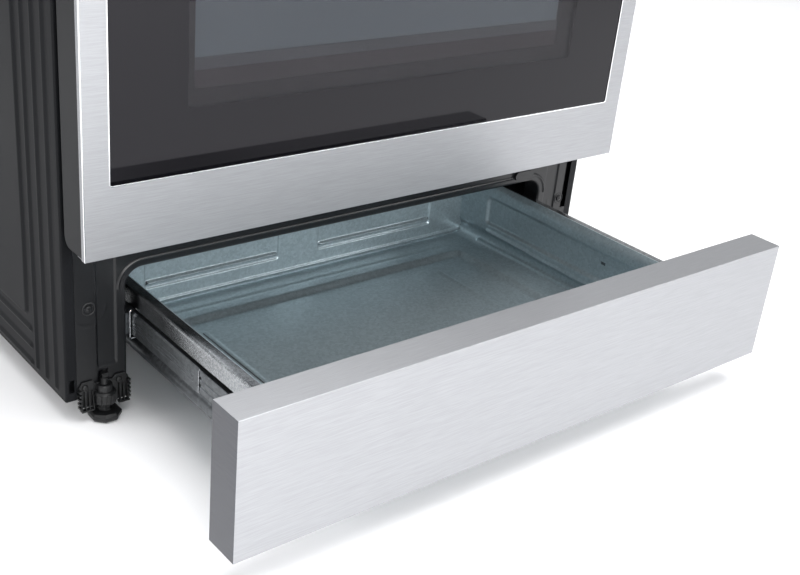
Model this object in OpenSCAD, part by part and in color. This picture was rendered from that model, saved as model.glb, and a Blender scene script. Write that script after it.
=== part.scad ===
// Freestanding gas range with oven, storage drawer, five sealed burners and a backguard.
// Origin on the floor at the centre of the four levelling legs; X to the right, Y to the
// back, Z up. Drawn with the storage drawer pulled open by drawer_open.

/* [Body] */
// Width across the side panels
body_w = 756; // [750:1:762]
// Depth from the front frame to the rear edge of the side panels
body_d = 610; // [600:1:620]
// Height of the side panels' lower edge above the floor
panel_z = 28; // [26:0.5:30]
// Height of the cooktop's rim above the floor
rim_z = 915; // [914:1:920]
// Height of the backguard's top above the floor
guard_z = 1195; // [1180:1:1210]
// Thickness of the sheet steel
sheet = 1.2; // [1:0.1:1.4]

/* [Oven door] */
// Width of the door and of the drawer front
door_w = 754; // [748:1:756]
// Height of the door's lower edge above the floor
door_z = 212.5; // [212:0.5:213]
// Height of the door
door_h = 535.5; // [530:0.5:538]
// Thickness of the door
door_t = 45.6; // [45:0.1:46]
// Gap between the closed door and the front frame
door_gap = 7.4; // [7.2:0.1:7.8]
// Width of the steel beside the glass
glass_side = 27.1; // [24:0.1:30]
// Height of the steel below the glass
glass_low = 73.3; // [68:0.1:78]
// Height of the steel above the glass
glass_high = 88; // [84:1:94]

/* [Drawer] */
// How far the drawer stands open
drawer_open = 277; // [120:1:350]
// Height of the drawer front's lower edge above the floor
drawer_z = 41; // [40:0.5:42]
// Height of the drawer front
drawer_h = 146.3; // [144:0.1:147]
// Thickness of the drawer front
drawer_t = 40.5; // [38:0.5:42]
// Length of the telescopic slides
slide_len = 400; // [395:1:405]

/* [Oven] */
// Width of the oven cavity
cavity_w = 616; // [610:1:618]
// Depth of the oven cavity
cavity_d = 480; // [470:1:485]
// Height of the oven cavity's ceiling above the floor
cavity_top = 738; // [734:1:738]
// Thickness of the insulation blanket
blanket = 35; // [32:1:36]

/* [Controls] */
// Tilt of the control panel from the vertical
fascia_tilt = 15; // [13:1:16]
// Radius of a knob's skirt
knob_r = 24; // [20:0.5:26]
// How far a knob can be pushed in
knob_push = 3.5; // [3:0.5:3.5]

/* [Cooktop] */
// Distance of the side burners from the centre line
burner_x = 235; // [232:1:238]
// Height of the grates' top above the cooktop's rim
grate_rise = 25; // [24:1:30]

/* [Hidden] */
eps = 0.5;
$fn = 48;

// Levelling legs: places of their centres, stem and bore
foot_x = 335.5;
foot_y = 286.5;
stem_r = 5;
fit = 0.05;

// Planes across the depth
frame_y = -foot_y + 3;
door_back_y = frame_y - door_gap;
door_y = door_back_y - door_t;
back_y = frame_y + body_d;
side_x = body_w / 2;
side_top = rim_z - 26;
flange_w = 12.5;
post_x = side_x - flange_w - 0.3;

// Drawer opening in the front frame
open_x = 307;
open_z = 168;
open_r = 20;
hinge_slot_x = 355.7;
hinge_slot_z = 118;

// Drawer box and slides
box_x = 287.9;
rim_x = 299.2;
rim_box_z = 143;
ledge_z = 48;
well_z = 42.2;
ledge_w = 53;
box_back_y = door_y + 452.2;
slide_z0 = 85;
slide_z1 = 120;

// Oven door
door_x = door_w / 2;
door_top = door_z + door_h;
glass_x = door_x - glass_side;
glass_z0 = door_z + glass_low;
glass_z1 = door_top - glass_high;
pivot_y = door_y + 28;
pivot_z = door_z + 9.5;
arm_x = 361;
window_x = 242;
window_z0 = 377;
window_z1 = 600;
handle_y = door_y - 50;
handle_z = door_top - 44;

// Oven
cavity_x = cavity_w / 2;
mouth_z = 246;
cavity_z = 225.2;
cavity_back_y = frame_y + cavity_d;
guide_z = [290, 370, 450, 530, 610];
rack_rise = 3;

// Control panel, knobs, valves and gas pipes
fascia_z = 757;
fascia_y = door_y + 6;
fascia_top_y = fascia_y + (side_top - fascia_z) * tan(fascia_tilt);
knob_x = [-285, -180, 0, 180, 285];
knob_z = 823;
knob_y = fascia_y + (knob_z - fascia_z) * tan(fascia_tilt);
shaft_r = 4;
pipe_r = 10.5;
pipe_depth = 85;
pipe_y = knob_y + pipe_depth * cos(fascia_tilt);
pipe_z = knob_z - pipe_depth * sin(fascia_tilt);
riser_x = -300;
riser_y = 263.5;
inlet_z = 140;
gland_x = 300;
gland_z = 150;

// Cooktop, burners and grates
top_front_y = door_y + 40;
top_back_y = door_y + 598;
basin_z = rim_z - 18;
basin_x = side_x - 21;
basin_front_y = top_front_y + 32;
basin_back_y = top_back_y - 13;
front_burner_y = door_y + 200;
rear_burner_y = door_y + 460;
centre_burner_y = door_y + 330;
burners = [[-burner_x, front_burner_y, 48], [burner_x, front_burner_y, 56],
    [-burner_x, rear_burner_y, 42], [burner_x, rear_burner_y, 48]];
oval_half = 60;
oval_r = 30;
head_z = rim_z - 1;
grate_z = rim_z + grate_rise;
bar = 12;

// Backguard
guard_y = top_back_y;
guard_back_y = back_y + 9;
guard_tilt = 4;

// Box between two corners
module block(x0, x1, y0, y1, z0, z1) {
    translate([x0, y0, z0]) cube([x1 - x0, y1 - y0, z1 - z0]);
}

// The same shape on the right and, mirrored, on the left
module both_sides() {
    children();
    mirror([1, 0, 0]) children();
}

// Outline drawn in X and Z, given depth along Y from y0 to y1
module upright(y0, y1) {
    translate([0, y1, 0]) rotate([90, 0, 0]) linear_extrude(y1 - y0) children();
}

// Outline drawn in Y and Z, given width along X from x0 to x1
module crosswise(x0, x1) {
    translate([x0, 0, 0]) rotate([90, 0, 90]) linear_extrude(x1 - x0) children();
}

// Rectangle with rounded corners between two corners
module plate_2d(x0, x1, z0, z1, r) {
    translate([x0 + r, z0]) square([x1 - x0 - 2 * r, z1 - z0]);
    translate([x0, z0 + r]) square([x1 - x0, z1 - z0 - 2 * r]);
    for (x = [x0 + r, x1 - r], z = [z0 + r, z1 - r]) translate([x, z]) circle(r);
}

// Straight round bar between two points that differ along one axis only
module rod(from, to, r, sides = 24) {
    d = to - from;
    turn = d[0] != 0 ? [0, 90, 0] : d[1] != 0 ? [-90, 0, 0] : [0, 0, 0];
    translate(from) rotate(turn) cylinder(r = r, h = norm(d), $fn = sides);
}

// Frame of a control: Z runs out of the control panel along the knob's axis
module at_knob(i) {
    translate([knob_x[i], knob_y, knob_z]) rotate([90 - fascia_tilt, 0, 0]) children();
}

// ---- casing ----

module side_panel() {
    color("#303236") {
        block(side_x - sheet, side_x, frame_y, back_y, panel_z, side_top);
        block(side_x - flange_w, side_x, frame_y, frame_y + sheet, panel_z, side_top);
        block(side_x - 15, side_x, back_y - sheet, back_y, panel_z, side_top);
    }
}

module rear_panel() {
    color("#8f9699") difference() {
        block(2 - side_x, side_x - 2, back_y, back_y + sheet, 60, side_top);
        block(riser_x - 45, riser_x + 45, back_y - 1, back_y + 3, inlet_z - 40, inlet_z + 45);
        rod([gland_x, back_y - 1, gland_z], [gland_x, back_y + 3, gland_z], 11, 48);
    }
}

// Notch that lets a leg's boss stand through an upright sheet
module boss_notch() {
    for (s = [-1, 1]) translate([s * foot_x - 10, panel_z - 1]) square([20, 31]);
}

module front_frame() {
    color("#1b1c1f") {
        upright(frame_y, frame_y + sheet) difference() {
            translate([-post_x, panel_z]) square([2 * post_x, door_z - panel_z - 0.5]);
            plate_2d(-open_x, open_x, -open_r, open_z, open_r);
            for (s = [-1, 1])
                translate([s > 0 ? hinge_slot_x : -post_x - 1, hinge_slot_z])
                    square([post_x - hinge_slot_x + 1, 100]);
            boss_notch();
        }
        both_sides() block(open_x, open_x + sheet, frame_y, frame_y + 30, panel_z, open_z - open_r);
        block(open_r - open_x, open_x - open_r, frame_y, frame_y + 18, open_z, open_z + sheet);
    }
}

module rear_rail() {
    color("#1b1c1f") {
        upright(foot_y - 3 - sheet, foot_y - 3) difference() {
            translate([sheet - side_x, panel_z]) square([2 * (side_x - sheet), 72]);
            boss_notch();
        }
        block(sheet - side_x, side_x - sheet, foot_y - 28, foot_y - 3, 98.8, 100);
    }
}

// ---- oven ----

module oven_cavity() {
    color("#3a3f4a") {
        difference() {
            block(-cavity_x - sheet, cavity_x + sheet, frame_y, cavity_back_y + sheet,
                cavity_z - sheet, cavity_top + sheet);
            block(-cavity_x, cavity_x, frame_y + sheet, cavity_back_y, cavity_z, cavity_top);
            block(-cavity_x, cavity_x, frame_y - 1, frame_y + 2, mouth_z, cavity_top);
        }
        upright(frame_y, frame_y + sheet) difference() {
            translate([-post_x, door_z]) square([2 * post_x, 539]);
            translate([-cavity_x, mouth_z]) square([cavity_w, cavity_top - mouth_z]);
            for (s = [-1, 1])
                translate([s > 0 ? hinge_slot_x : -post_x - 1, door_z - 1])
                    square([post_x - hinge_slot_x + 1, 29]);
        }
        both_sides() for (z = guide_z)
            block(cavity_x - 8, cavity_x, frame_y + 20, cavity_back_y - 20, z - 4, z);
    }
}

module oven_insulation() {
    color("#d9c58a") difference() {
        block(-cavity_x - sheet - blanket, cavity_x + sheet + blanket, frame_y + 1.5,
            cavity_back_y + sheet + blanket, cavity_z - blanket, cavity_top + sheet + blanket);
        block(-cavity_x - sheet, cavity_x + sheet, frame_y, cavity_back_y + sheet,
            cavity_z - sheet, cavity_top + sheet);
    }
}

module oven_floor() {
    color("#3a3f4a") difference() {
        block(1.5 - cavity_x, cavity_x - 1.5, frame_y + 4, cavity_back_y - 4, 244, 245.5);
        both_sides() for (i = [0 : 7])
            block(255, 290, frame_y + 60 + 50 * i, frame_y + 66 + 50 * i, 243, 247);
    }
}

module bake_burner() {
    front = frame_y + 90;
    rear = cavity_back_y - 60;
    level = 232;
    color("#a9adb0") {
        both_sides() {
            rod([170, front, level], [170, rear, level], 6);
            translate([170, front, level]) sphere(6, $fn = 24);
        }
        rod([-170, rear, level], [170, rear, level], 6);
        both_sides() translate([170, rear, level]) sphere(6, $fn = 24);
        rod([0, rear, level], [0, cavity_back_y, level], 6);
    }
}

module broil_burner() {
    middle = (frame_y + cavity_back_y) / 2;
    color("#a9adb0") {
        block(-120, 120, middle - 170, middle + 170, cavity_top - 22, cavity_top - 8);
        both_sides() block(120, 150, middle - 170, middle + 170, cavity_top - 10, cavity_top - 8);
        both_sides() block(110, 118, middle - 5, middle + 5, cavity_top - 8, cavity_top);
        block(-10, 10, middle + 170, cavity_back_y, cavity_top - 22, cavity_top - 10);
    }
}

// Wire rack whose side wires lie on a pair of guides at height z
module rack(z) {
    x = cavity_x - 4;
    y0 = frame_y + 22;
    y1 = cavity_back_y - 12;
    level = z + rack_rise;
    color("#b9bcc0") {
        both_sides() rod([x, y0, level], [x, y1, level], rack_rise, 8);
        for (y = [y0, (y0 + y1) / 2, y1]) rod([-x, y, level], [x, y, level], 3, 8);
        for (i = [-11 : 11]) rod([i * 25, y0, level + 2], [i * 25, y1, level + 2], 1.6, 8);
    }
}

module oven_lamp() {
    at = [-220, cavity_back_y, 690];
    color("#e8e4d4") {
        rod(at - [0, 6, 0], at, 30, 48);
        rod(at - [0, 28, 0], at - [0, 6, 0], 24, 48);
    }
}

module door_gasket() {
    color("#2a2a2c") upright(frame_y - 6.9, frame_y) difference() {
        plate_2d(-320, 320, mouth_z - 12, cavity_top + 12, 12);
        plate_2d(-312, 312, mouth_z - 4, cavity_top + 4, 6);
    }
}

// Fixed half of each door hinge: an arm that carries the door's hinge pin
module hinge_receivers() {
    color("#6f7478") both_sides() difference() {
        union() {
            rod([arm_x - 3, pivot_y, pivot_z], [arm_x + 3, pivot_y, pivot_z], 6, 48);
            block(arm_x - 3, arm_x + 3, pivot_y, frame_y + 60, pivot_z - 6, pivot_z + 6);
            block(arm_x - 3, arm_x + 3, frame_y + 10, frame_y + 60, 150, 270);
            block(arm_x + 3, side_x - sheet, frame_y + 58, frame_y + 60, 150, 270);
        }
        rod([arm_x - 4, pivot_y, pivot_z], [arm_x + 4, pivot_y, pivot_z], shaft_r + fit, 48);
    }
}

// ---- oven door ----

module door_frame() {
    color("#c9cacd") {
        upright(door_y, door_y + sheet) difference() {
            translate([-door_x, door_z]) square([door_w, door_h]);
            plate_2d(-glass_x, glass_x, glass_z0, glass_z1, 3);
        }
        both_sides() block(door_x - sheet, door_x, door_y, door_y + 3.5, door_z, door_top);
        block(sheet - door_x, door_x - sheet, door_y, door_y + 18, door_z, door_z + sheet);
        block(sheet - door_x, door_x - sheet, door_y, door_y + 30, door_top - sheet, door_top);
    }
}

module door_glass() {
    color("#25262a") upright(door_y + sheet, door_y + sheet + 4)
        plate_2d(-glass_x - 6, glass_x + 6, glass_z0 - 6, glass_z1 + 6, 6);
}

module door_side_caps() {
    color("#3f4043") both_sides() crosswise(door_x - 5.5, door_x - 0.6) difference() {
        translate([door_y + 3.7, door_z + 1.4]) square([door_t - 3.7, door_h - 2.8]);
        translate([door_back_y - 12, door_z + 1.4]) difference() {
            translate([0, -1]) square([13, 13]);
            translate([0, 12]) circle(12);
        }
    }
}

module door_inner_panel() {
    inner_x = door_x - 6;
    low = door_z + 1.6;
    high = door_top - 1.6;
    color("#3a3f4a") {
        upright(door_back_y - 1.6, door_back_y) difference() {
            translate([-inner_x, low]) square([2 * inner_x, high - low]);
            plate_2d(-window_x, window_x, window_z0, window_z1, 12);
            for (s = [-1, 1]) translate([s > 0 ? 350 : -375, low - 1]) square([25, 50]);
        }
        both_sides() block(inner_x - sheet, inner_x, door_y + 8, door_back_y - 1.6, 265, high - 3);
        block(-349, 349, door_y + 18.5, door_back_y - 1.6, low, low + sheet);
        block(-inner_x, inner_x, door_y + 31, door_back_y - 1.6, high - sheet, high);
        upright(door_y + 14, door_back_y - 1.6) difference() {
            plate_2d(-window_x - 12, window_x + 12, window_z0 - 12, window_z1 + 12, 6);
            plate_2d(-window_x - 10.8, window_x + 10.8, window_z0 - 10.8, window_z1 + 10.8, 4.8);
        }
    }
}

// Two panes of heat glass inside the inner panel's window channel
module door_window() {
    color("#6f7680") for (y = [door_y + 18, door_back_y - 5.6])
        upright(y, y + 4) plate_2d(-window_x - 10, window_x + 10, window_z0 - 10, window_z1 + 10, 4);
}

module door_handle() {
    color("#c9cacd") {
        rod([-350, handle_y, handle_z], [350, handle_y, handle_z], 11, 48);
        both_sides() block(316, 338, handle_y, door_y, handle_z - 9, handle_z + 9);
    }
}

// Moving half of each door hinge: two cheeks and the pin through the arm's bore
module door_hinges() {
    color("#6f7478") both_sides() {
        for (x = [352, 366]) block(x, x + 4, door_y + 14, door_y + 40, door_z + 3.5, door_z + 50);
        rod([352, pivot_y, pivot_z], [370, pivot_y, pivot_z], shaft_r, 48);
    }
}

// ---- storage drawer ----

// Drawer parts are drawn closed and then pulled out by the given share of drawer_open
module pulled(share = 1) {
    translate([0, -drawer_open * share, 0]) children();
}

module drawer_box() {
    y0 = door_y + drawer_t;
    y1 = box_back_y;
    well_x = box_x - sheet - ledge_w + 5;
    color("#7d8b92") pulled() {
        difference() {
            block(-box_x, box_x, y0, y1, ledge_z - sheet, rim_box_z);
            block(sheet - box_x, box_x - sheet, y0 + sheet, y1 - sheet, ledge_z, rim_box_z + 1);
            block(-well_x, well_x, y0 + ledge_w, y1 - ledge_w, ledge_z - 2, ledge_z + 1);
        }
        difference() {
            block(-well_x - sheet, well_x + sheet, y0 + ledge_w - sheet, y1 - ledge_w + sheet,
                well_z - sheet, ledge_z - sheet);
            block(-well_x, well_x, y0 + ledge_w, y1 - ledge_w, well_z, ledge_z);
        }
        both_sides() block(box_x, rim_x, y0, y1, rim_box_z - sheet, rim_box_z);
        both_sides() block(rim_x - sheet, rim_x, y0, y1, slide_z1 + 2, rim_box_z);
        block(-rim_x, rim_x, y1, y1 + 11, rim_box_z - sheet, rim_box_z);
    }
}

module drawer_front() {
    color("#d5d6d9") pulled() difference() {
        block(-door_x, door_x, door_y, door_y + drawer_t, drawer_z, drawer_z + drawer_h);
        block(sheet - door_x, door_x - sheet, door_y + sheet, door_y + drawer_t - sheet,
            drawer_z + sheet, drawer_z + drawer_h - sheet);
        block(15 - door_x, door_x - 15, door_y + 2, door_y + drawer_t + 1,
            drawer_z + 12, drawer_z + drawer_h - 12);
    }
}

// Channel of a telescopic slide: web at x_web, lips reaching to x_tip
module channel(x_web, x_tip, z0, z1) {
    inward = x_tip < x_web ? -1 : 1;
    x0 = min(x_web, x_tip);
    x1 = max(x_web, x_tip);
    web0 = inward < 0 ? x_web - sheet : x_web;
    y0 = frame_y;
    y1 = frame_y + slide_len;
    block(web0, web0 + sheet, y0, y1, z0, z1);
    block(x0, x1, y0, y1, z0, z0 + sheet);
    block(x0, x1, y0, y1, z1 - sheet, z1);
}

module slide_outer() {
    web = 302.2;
    color("#9aa0a4") both_sides() {
        channel(web, 293.5, slide_z0, slide_z1);
        block(web, open_x, frame_y + 4, frame_y + 26, slide_z0 + 5, slide_z1 - 5);
        block(web, side_x - sheet, frame_y + 380, frame_y + 382, slide_z0, slide_z1);
    }
}

module slide_middle() {
    color("#9aa0a4") pulled(0.5) both_sides() channel(299.5, 292, slide_z0 + 3, slide_z1 - 3);
}

module slide_inner() {
    color("#9aa0a4") pulled() both_sides() channel(box_x, 296, slide_z0 + 6, slide_z1 - 6);
}

// ---- legs ----

// Bracket of one leg on the front right; the others are mirror images
module leg_bracket() {
    difference() {
        union() {
            block(open_x, 364, -foot_y + 1, -foot_y + 3, panel_z - 12, panel_z + 20);
            block(352, 364, -foot_y - 4, -foot_y + 1, panel_z - 12, panel_z - 10.5);
            block(open_x, 319, -foot_y - 4, -foot_y + 1, panel_z - 12, panel_z - 10.5);
            rod([foot_x, -foot_y, panel_z - 10], [foot_x, -foot_y, panel_z + 12], 7.5, 48);
        }
        rod([foot_x, -foot_y, panel_z - 20], [foot_x, -foot_y, panel_z + 30], stem_r + fit, 48);
    }
}

module leg_brackets() {
    color("#141517") both_sides() {
        leg_bracket();
        mirror([0, 1, 0]) leg_bracket();
    }
}

// Levelling leg: eight-sided foot and a round stem that turns in the bracket's bore
module leg(side, end) {
    color("#0f1012") translate([side * foot_x, end * foot_y, 0]) {
        rotate(22.5) {
            cylinder(r = 16.5, h = 3, $fn = 8);
            translate([0, 0, 3]) cylinder(r = 18.5, h = 6, $fn = 8);
            translate([0, 0, 9]) cylinder(r = 12, h = 5, $fn = 8);
        }
        cylinder(r = stem_r, h = panel_z + 27);
    }
}

// ---- gas system ----

module manifold() {
    color("#b0a26a") {
        rod([riser_x, pipe_y, pipe_z], [310, pipe_y, pipe_z], pipe_r);
        translate([riser_x, pipe_y, pipe_z]) sphere(pipe_r, $fn = 24);
        rod([riser_x, pipe_y, pipe_z], [riser_x, riser_y, pipe_z], pipe_r - 2);
        translate([riser_x, riser_y, pipe_z]) sphere(pipe_r - 2, $fn = 24);
        rod([riser_x, riser_y, inlet_z + 26], [riser_x, riser_y, pipe_z], pipe_r - 2);
    }
}

module gas_valves() {
    deep = pipe_r + 0.3 - pipe_depth;
    color("#b8a052") for (i = [0 : 4]) at_knob(i) difference() {
        union() {
            translate([-13, -13, deep]) cube([26, 26, 34]);
            translate([0, 0, deep + 33]) cylinder(r = 9, h = 14);
        }
        translate([0, 0, deep + 20]) cylinder(r = shaft_r + fit, h = 40);
    }
}

module valve_stem(i) {
    low = pipe_r + 24 - pipe_depth;
    color("#c8cacc") at_knob(i) difference() {
        translate([0, 0, low]) cylinder(r = shaft_r, h = 16 - low);
        translate([2.8, -5, 8]) cube([3, 10, 9]);
    }
}

module knob(i) {
    gap = knob_push + 1;
    color("#b9bbbe") at_knob(i) difference() {
        union() {
            translate([0, 0, gap]) cylinder(r = knob_r, h = 5);
            translate([0, 0, gap + 5]) cylinder(r = knob_r - 3, h = 20);
            translate([-4.5, 3 - knob_r, gap + 25]) cube([9, 2 * knob_r - 6, 5]);
        }
        translate([0, 0, gap - 1]) cylinder(r = shaft_r + fit, h = 20);
    }
}

module regulator() {
    color("#9c9fa2") difference() {
        union() {
            translate([riser_x - 22, riser_y - 20, inlet_z - 22]) cube([44, 40, 48]);
            rod([riser_x - 34, riser_y, inlet_z], [riser_x - 22, riser_y, inlet_z], 18, 48);
            rod([riser_x, riser_y + 20, inlet_z], [riser_x, riser_y + 34, inlet_z], 15, 6);
        }
        rod([riser_x, riser_y + 16, inlet_z], [riser_x, riser_y + 35, inlet_z], 9.1, 48);
    }
}

module cord_gland() {
    color("#18191b") difference() {
        union() {
            rod([gland_x, back_y - 8, gland_z], [gland_x, back_y, gland_z], 14, 48);
            rod([gland_x, back_y, gland_z], [gland_x, back_y + sheet, gland_z], 10.9, 48);
            rod([gland_x, back_y + sheet, gland_z], [gland_x, back_y + 9, gland_z], 14, 48);
        }
        rod([gland_x, back_y - 9, gland_z], [gland_x, back_y + 10, gland_z], 5.5, 48);
    }
}

// ---- control panel and backguard ----

// Side view of the control panel from the face to the given depth
module fascia_2d(depth) {
    polygon([[fascia_y, fascia_z], [fascia_top_y, side_top], [depth, side_top], [depth, fascia_z]]);
}

module control_panel() {
    depth = frame_y - 0.2;
    skin = 1.5;
    color("#c9cacd") difference() {
        crosswise(-side_x, side_x) fascia_2d(depth);
        crosswise(skin - side_x, side_x - skin) polygon([
            [fascia_y + skin + skin * tan(fascia_tilt), fascia_z + skin],
            [fascia_top_y + skin - skin * tan(fascia_tilt), side_top - skin],
            [depth + 1, side_top - skin], [depth + 1, fascia_z + skin]]);
        for (i = [0 : 4]) at_knob(i) translate([0, 0, -5]) cylinder(r = 6.5, h = 10);
    }
}

// Side view of the backguard, drawn in by the given wall
module guard_2d(wall) {
    rise = guard_z - side_top;
    polygon([[guard_y + wall, side_top], [guard_y + rise * tan(guard_tilt) + wall, guard_z - wall],
        [guard_back_y - wall, guard_z - wall], [guard_back_y - wall, side_top]]);
}

module backguard() {
    skin = 1.5;
    color("#c9cacd") difference() {
        crosswise(-side_x, side_x) guard_2d(0);
        translate([0, 0, -eps]) crosswise(skin - side_x, side_x - skin) guard_2d(skin);
        for (i = [-6 : 6])
            block(i * 46 - 17, i * 46 + 17, guard_y - 5, guard_y + 8, rim_z + 14, rim_z + 20);
    }
}

module display_panel() {
    color("#101114") translate([0, guard_y, side_top]) rotate([90 - guard_tilt, 0, 0])
        translate([-310, 155, 0]) cube([620, 105, 4]);
}

// ---- cooktop ----

module cooktop() {
    nose = 8;
    color("#c0c1c4") difference() {
        crosswise(-side_x, side_x) {
            translate([top_front_y, side_top]) square([top_back_y - top_front_y, 26 - nose]);
            translate([top_front_y + nose, side_top]) square([top_back_y - top_front_y - nose, 26]);
            translate([top_front_y + nose, rim_z - nose]) circle(nose);
        }
        block(-basin_x, basin_x, basin_front_y, basin_back_y, basin_z, rim_z + 1);
        block(sheet - side_x, side_x - sheet, top_front_y + sheet, top_back_y - sheet,
            side_top - 1, basin_z - sheet);
        for (b = burners) rod([b[0], b[1], basin_z - 5], [b[0], b[1], basin_z + 5], 21, 48);
        for (s = [-1, 1]) rod([0, centre_burner_y + s * oval_half, basin_z - 5],
            [0, centre_burner_y + s * oval_half, basin_z + 5], 16, 48);
    }
}

// Oblong prism along Y: the centre burner's outline
module oblong(r, h) {
    for (s = [-1, 1]) translate([0, s * oval_half, 0]) cylinder(r = r, h = h);
    translate([-r, -oval_half, 0]) cube([2 * r, 2 * oval_half, h]);
}

module burner_bases() {
    color("#a5a8ab") {
        for (b = burners) translate([b[0], b[1], 0]) {
            translate([0, 0, basin_z - 40]) cylinder(r = 20, h = 41);
            translate([0, 0, basin_z]) cylinder(r = b[2] + 6, h = 6);
            translate([0, 0, basin_z + 5]) cylinder(r = b[2] - 2, h = head_z - basin_z - 5);
        }
        translate([0, centre_burner_y, 0]) {
            for (s = [-1, 1]) translate([0, s * oval_half, basin_z - 40]) cylinder(r = 15, h = 41);
            translate([0, 0, basin_z]) oblong(oval_r + 6, 6);
            translate([0, 0, basin_z + 5]) oblong(oval_r - 2, head_z - basin_z - 5);
        }
    }
}

module burner_cap(b) {
    color("#1c1c1e") translate([b[0], b[1], head_z]) {
        cylinder(r = b[2], h = 5);
        cylinder(r = b[2] - 5, h = 7);
    }
}

module burner_cap_centre() {
    color("#1c1c1e") translate([0, centre_burner_y, head_z]) {
        oblong(oval_r, 5);
        oblong(oval_r - 5, 7);
    }
}

module spark_electrodes() {
    color("#e9e6df") {
        for (b = burners)
            rod([b[0], b[1] + b[2] + 10, basin_z], [b[0], b[1] + b[2] + 10, head_z - 2], 2.5);
        rod([oval_r + 10, centre_burner_y, basin_z], [oval_r + 10, centre_burner_y, head_z - 2], 2.5);
    }
}

// Grate between x0 and x1: frame, cross bars, fingers toward each burner, and six feet
module grate(x0, x1, finger_y, reach) {
    y0 = basin_front_y + 4;
    y1 = basin_back_y - 4;
    low = grate_z - 14;
    mid = (x0 + x1) / 2;
    middle = (y0 + y1) / 2;
    color("#1e1e20") {
        for (x = [x0, x1 - bar]) block(x, x + bar, y0, y1, low, grate_z);
        for (y = [y0, middle - bar / 2, y1 - bar]) block(x0, x1, y, y + bar, low, grate_z);
        for (x = [x0, x1 - bar], y = [y0, middle - bar / 2, y1 - bar])
            block(x, x + bar, y, y + bar, basin_z, low + 1);
        for (y = finger_y) {
            block(x0, mid - reach, y - 4, y + 4, low + 3, grate_z);
            block(mid + reach, x1, y - 4, y + 4, low + 3, grate_z);
            block(mid - 4, mid + 4, max(y - 128, y0), y - reach, low + 3, grate_z);
            block(mid - 4, mid + 4, y + reach, min(y + 128, y1), low + 3, grate_z);
        }
    }
}

module grate_left() {
    grate(4 - basin_x, -122, [front_burner_y, rear_burner_y], 26);
}

module grate_right() {
    grate(122, basin_x - 4, [front_burner_y, rear_burner_y], 26);
}

module grate_centre() {
    grate(-118, 118, [centre_burner_y - 100, centre_burner_y + 100], 22);
}

mirror([1, 0, 0]) side_panel();  // side_panel_left
side_panel();  // side_panel_right
rear_panel();
front_frame();
rear_rail();
oven_cavity();
oven_insulation();
oven_floor();
bake_burner();
broil_burner();
rack(guide_z[1]);  // rack_lower
rack(guide_z[3]);  // rack_upper
oven_lamp();
door_gasket();
hinge_receivers();
cooktop();
burner_bases();
burner_cap(burners[0]);  // burner_cap_front_left
burner_cap(burners[1]);  // burner_cap_front_right
burner_cap(burners[2]);  // burner_cap_rear_left
burner_cap(burners[3]);  // burner_cap_rear_right
burner_cap_centre();
spark_electrodes();
grate_left();
grate_centre();
grate_right();
manifold();
gas_valves();
regulator();
cord_gland();
control_panel();
backguard();
display_panel();
for (i = [0 : 4]) {
    knob(i);
    valve_stem(i);
}
door_frame();
door_glass();
door_inner_panel();
door_window();
door_handle();
door_side_caps();
door_hinges();
drawer_box();
drawer_front();
slide_outer();
slide_middle();
slide_inner();
leg_brackets();
leg(-1, -1);  // leg_front_left
leg(1, -1);  // leg_front_right
leg(-1, 1);  // leg_rear_left
leg(1, 1);  // leg_rear_right
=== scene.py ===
import math
import bmesh
import bpy
from mathutils import Matrix, Vector


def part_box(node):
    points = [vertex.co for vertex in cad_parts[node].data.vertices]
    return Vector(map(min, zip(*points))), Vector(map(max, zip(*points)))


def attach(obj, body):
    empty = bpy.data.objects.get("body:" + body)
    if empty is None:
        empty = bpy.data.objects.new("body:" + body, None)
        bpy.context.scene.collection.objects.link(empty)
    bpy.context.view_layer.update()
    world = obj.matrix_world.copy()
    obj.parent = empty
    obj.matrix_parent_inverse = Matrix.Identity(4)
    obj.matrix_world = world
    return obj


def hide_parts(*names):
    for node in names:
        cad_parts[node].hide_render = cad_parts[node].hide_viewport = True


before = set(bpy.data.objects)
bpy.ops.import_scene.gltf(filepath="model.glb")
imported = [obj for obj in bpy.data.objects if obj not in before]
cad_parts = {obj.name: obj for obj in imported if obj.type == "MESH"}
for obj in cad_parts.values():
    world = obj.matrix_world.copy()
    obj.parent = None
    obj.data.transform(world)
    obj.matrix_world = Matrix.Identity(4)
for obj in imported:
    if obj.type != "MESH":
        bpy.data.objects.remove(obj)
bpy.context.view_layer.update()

# Lengths are millimetres until a mesh is made, then metres.
MM = 0.001
TAU = 2 * math.pi


def span(node):
    """A CAD node's box in millimetres: x0, x1, y0, y1, z0, z1."""
    low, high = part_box(node)
    return [value / MM for pair in zip(low, high) for value in pair]


# ---- mesh tools ----


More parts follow.
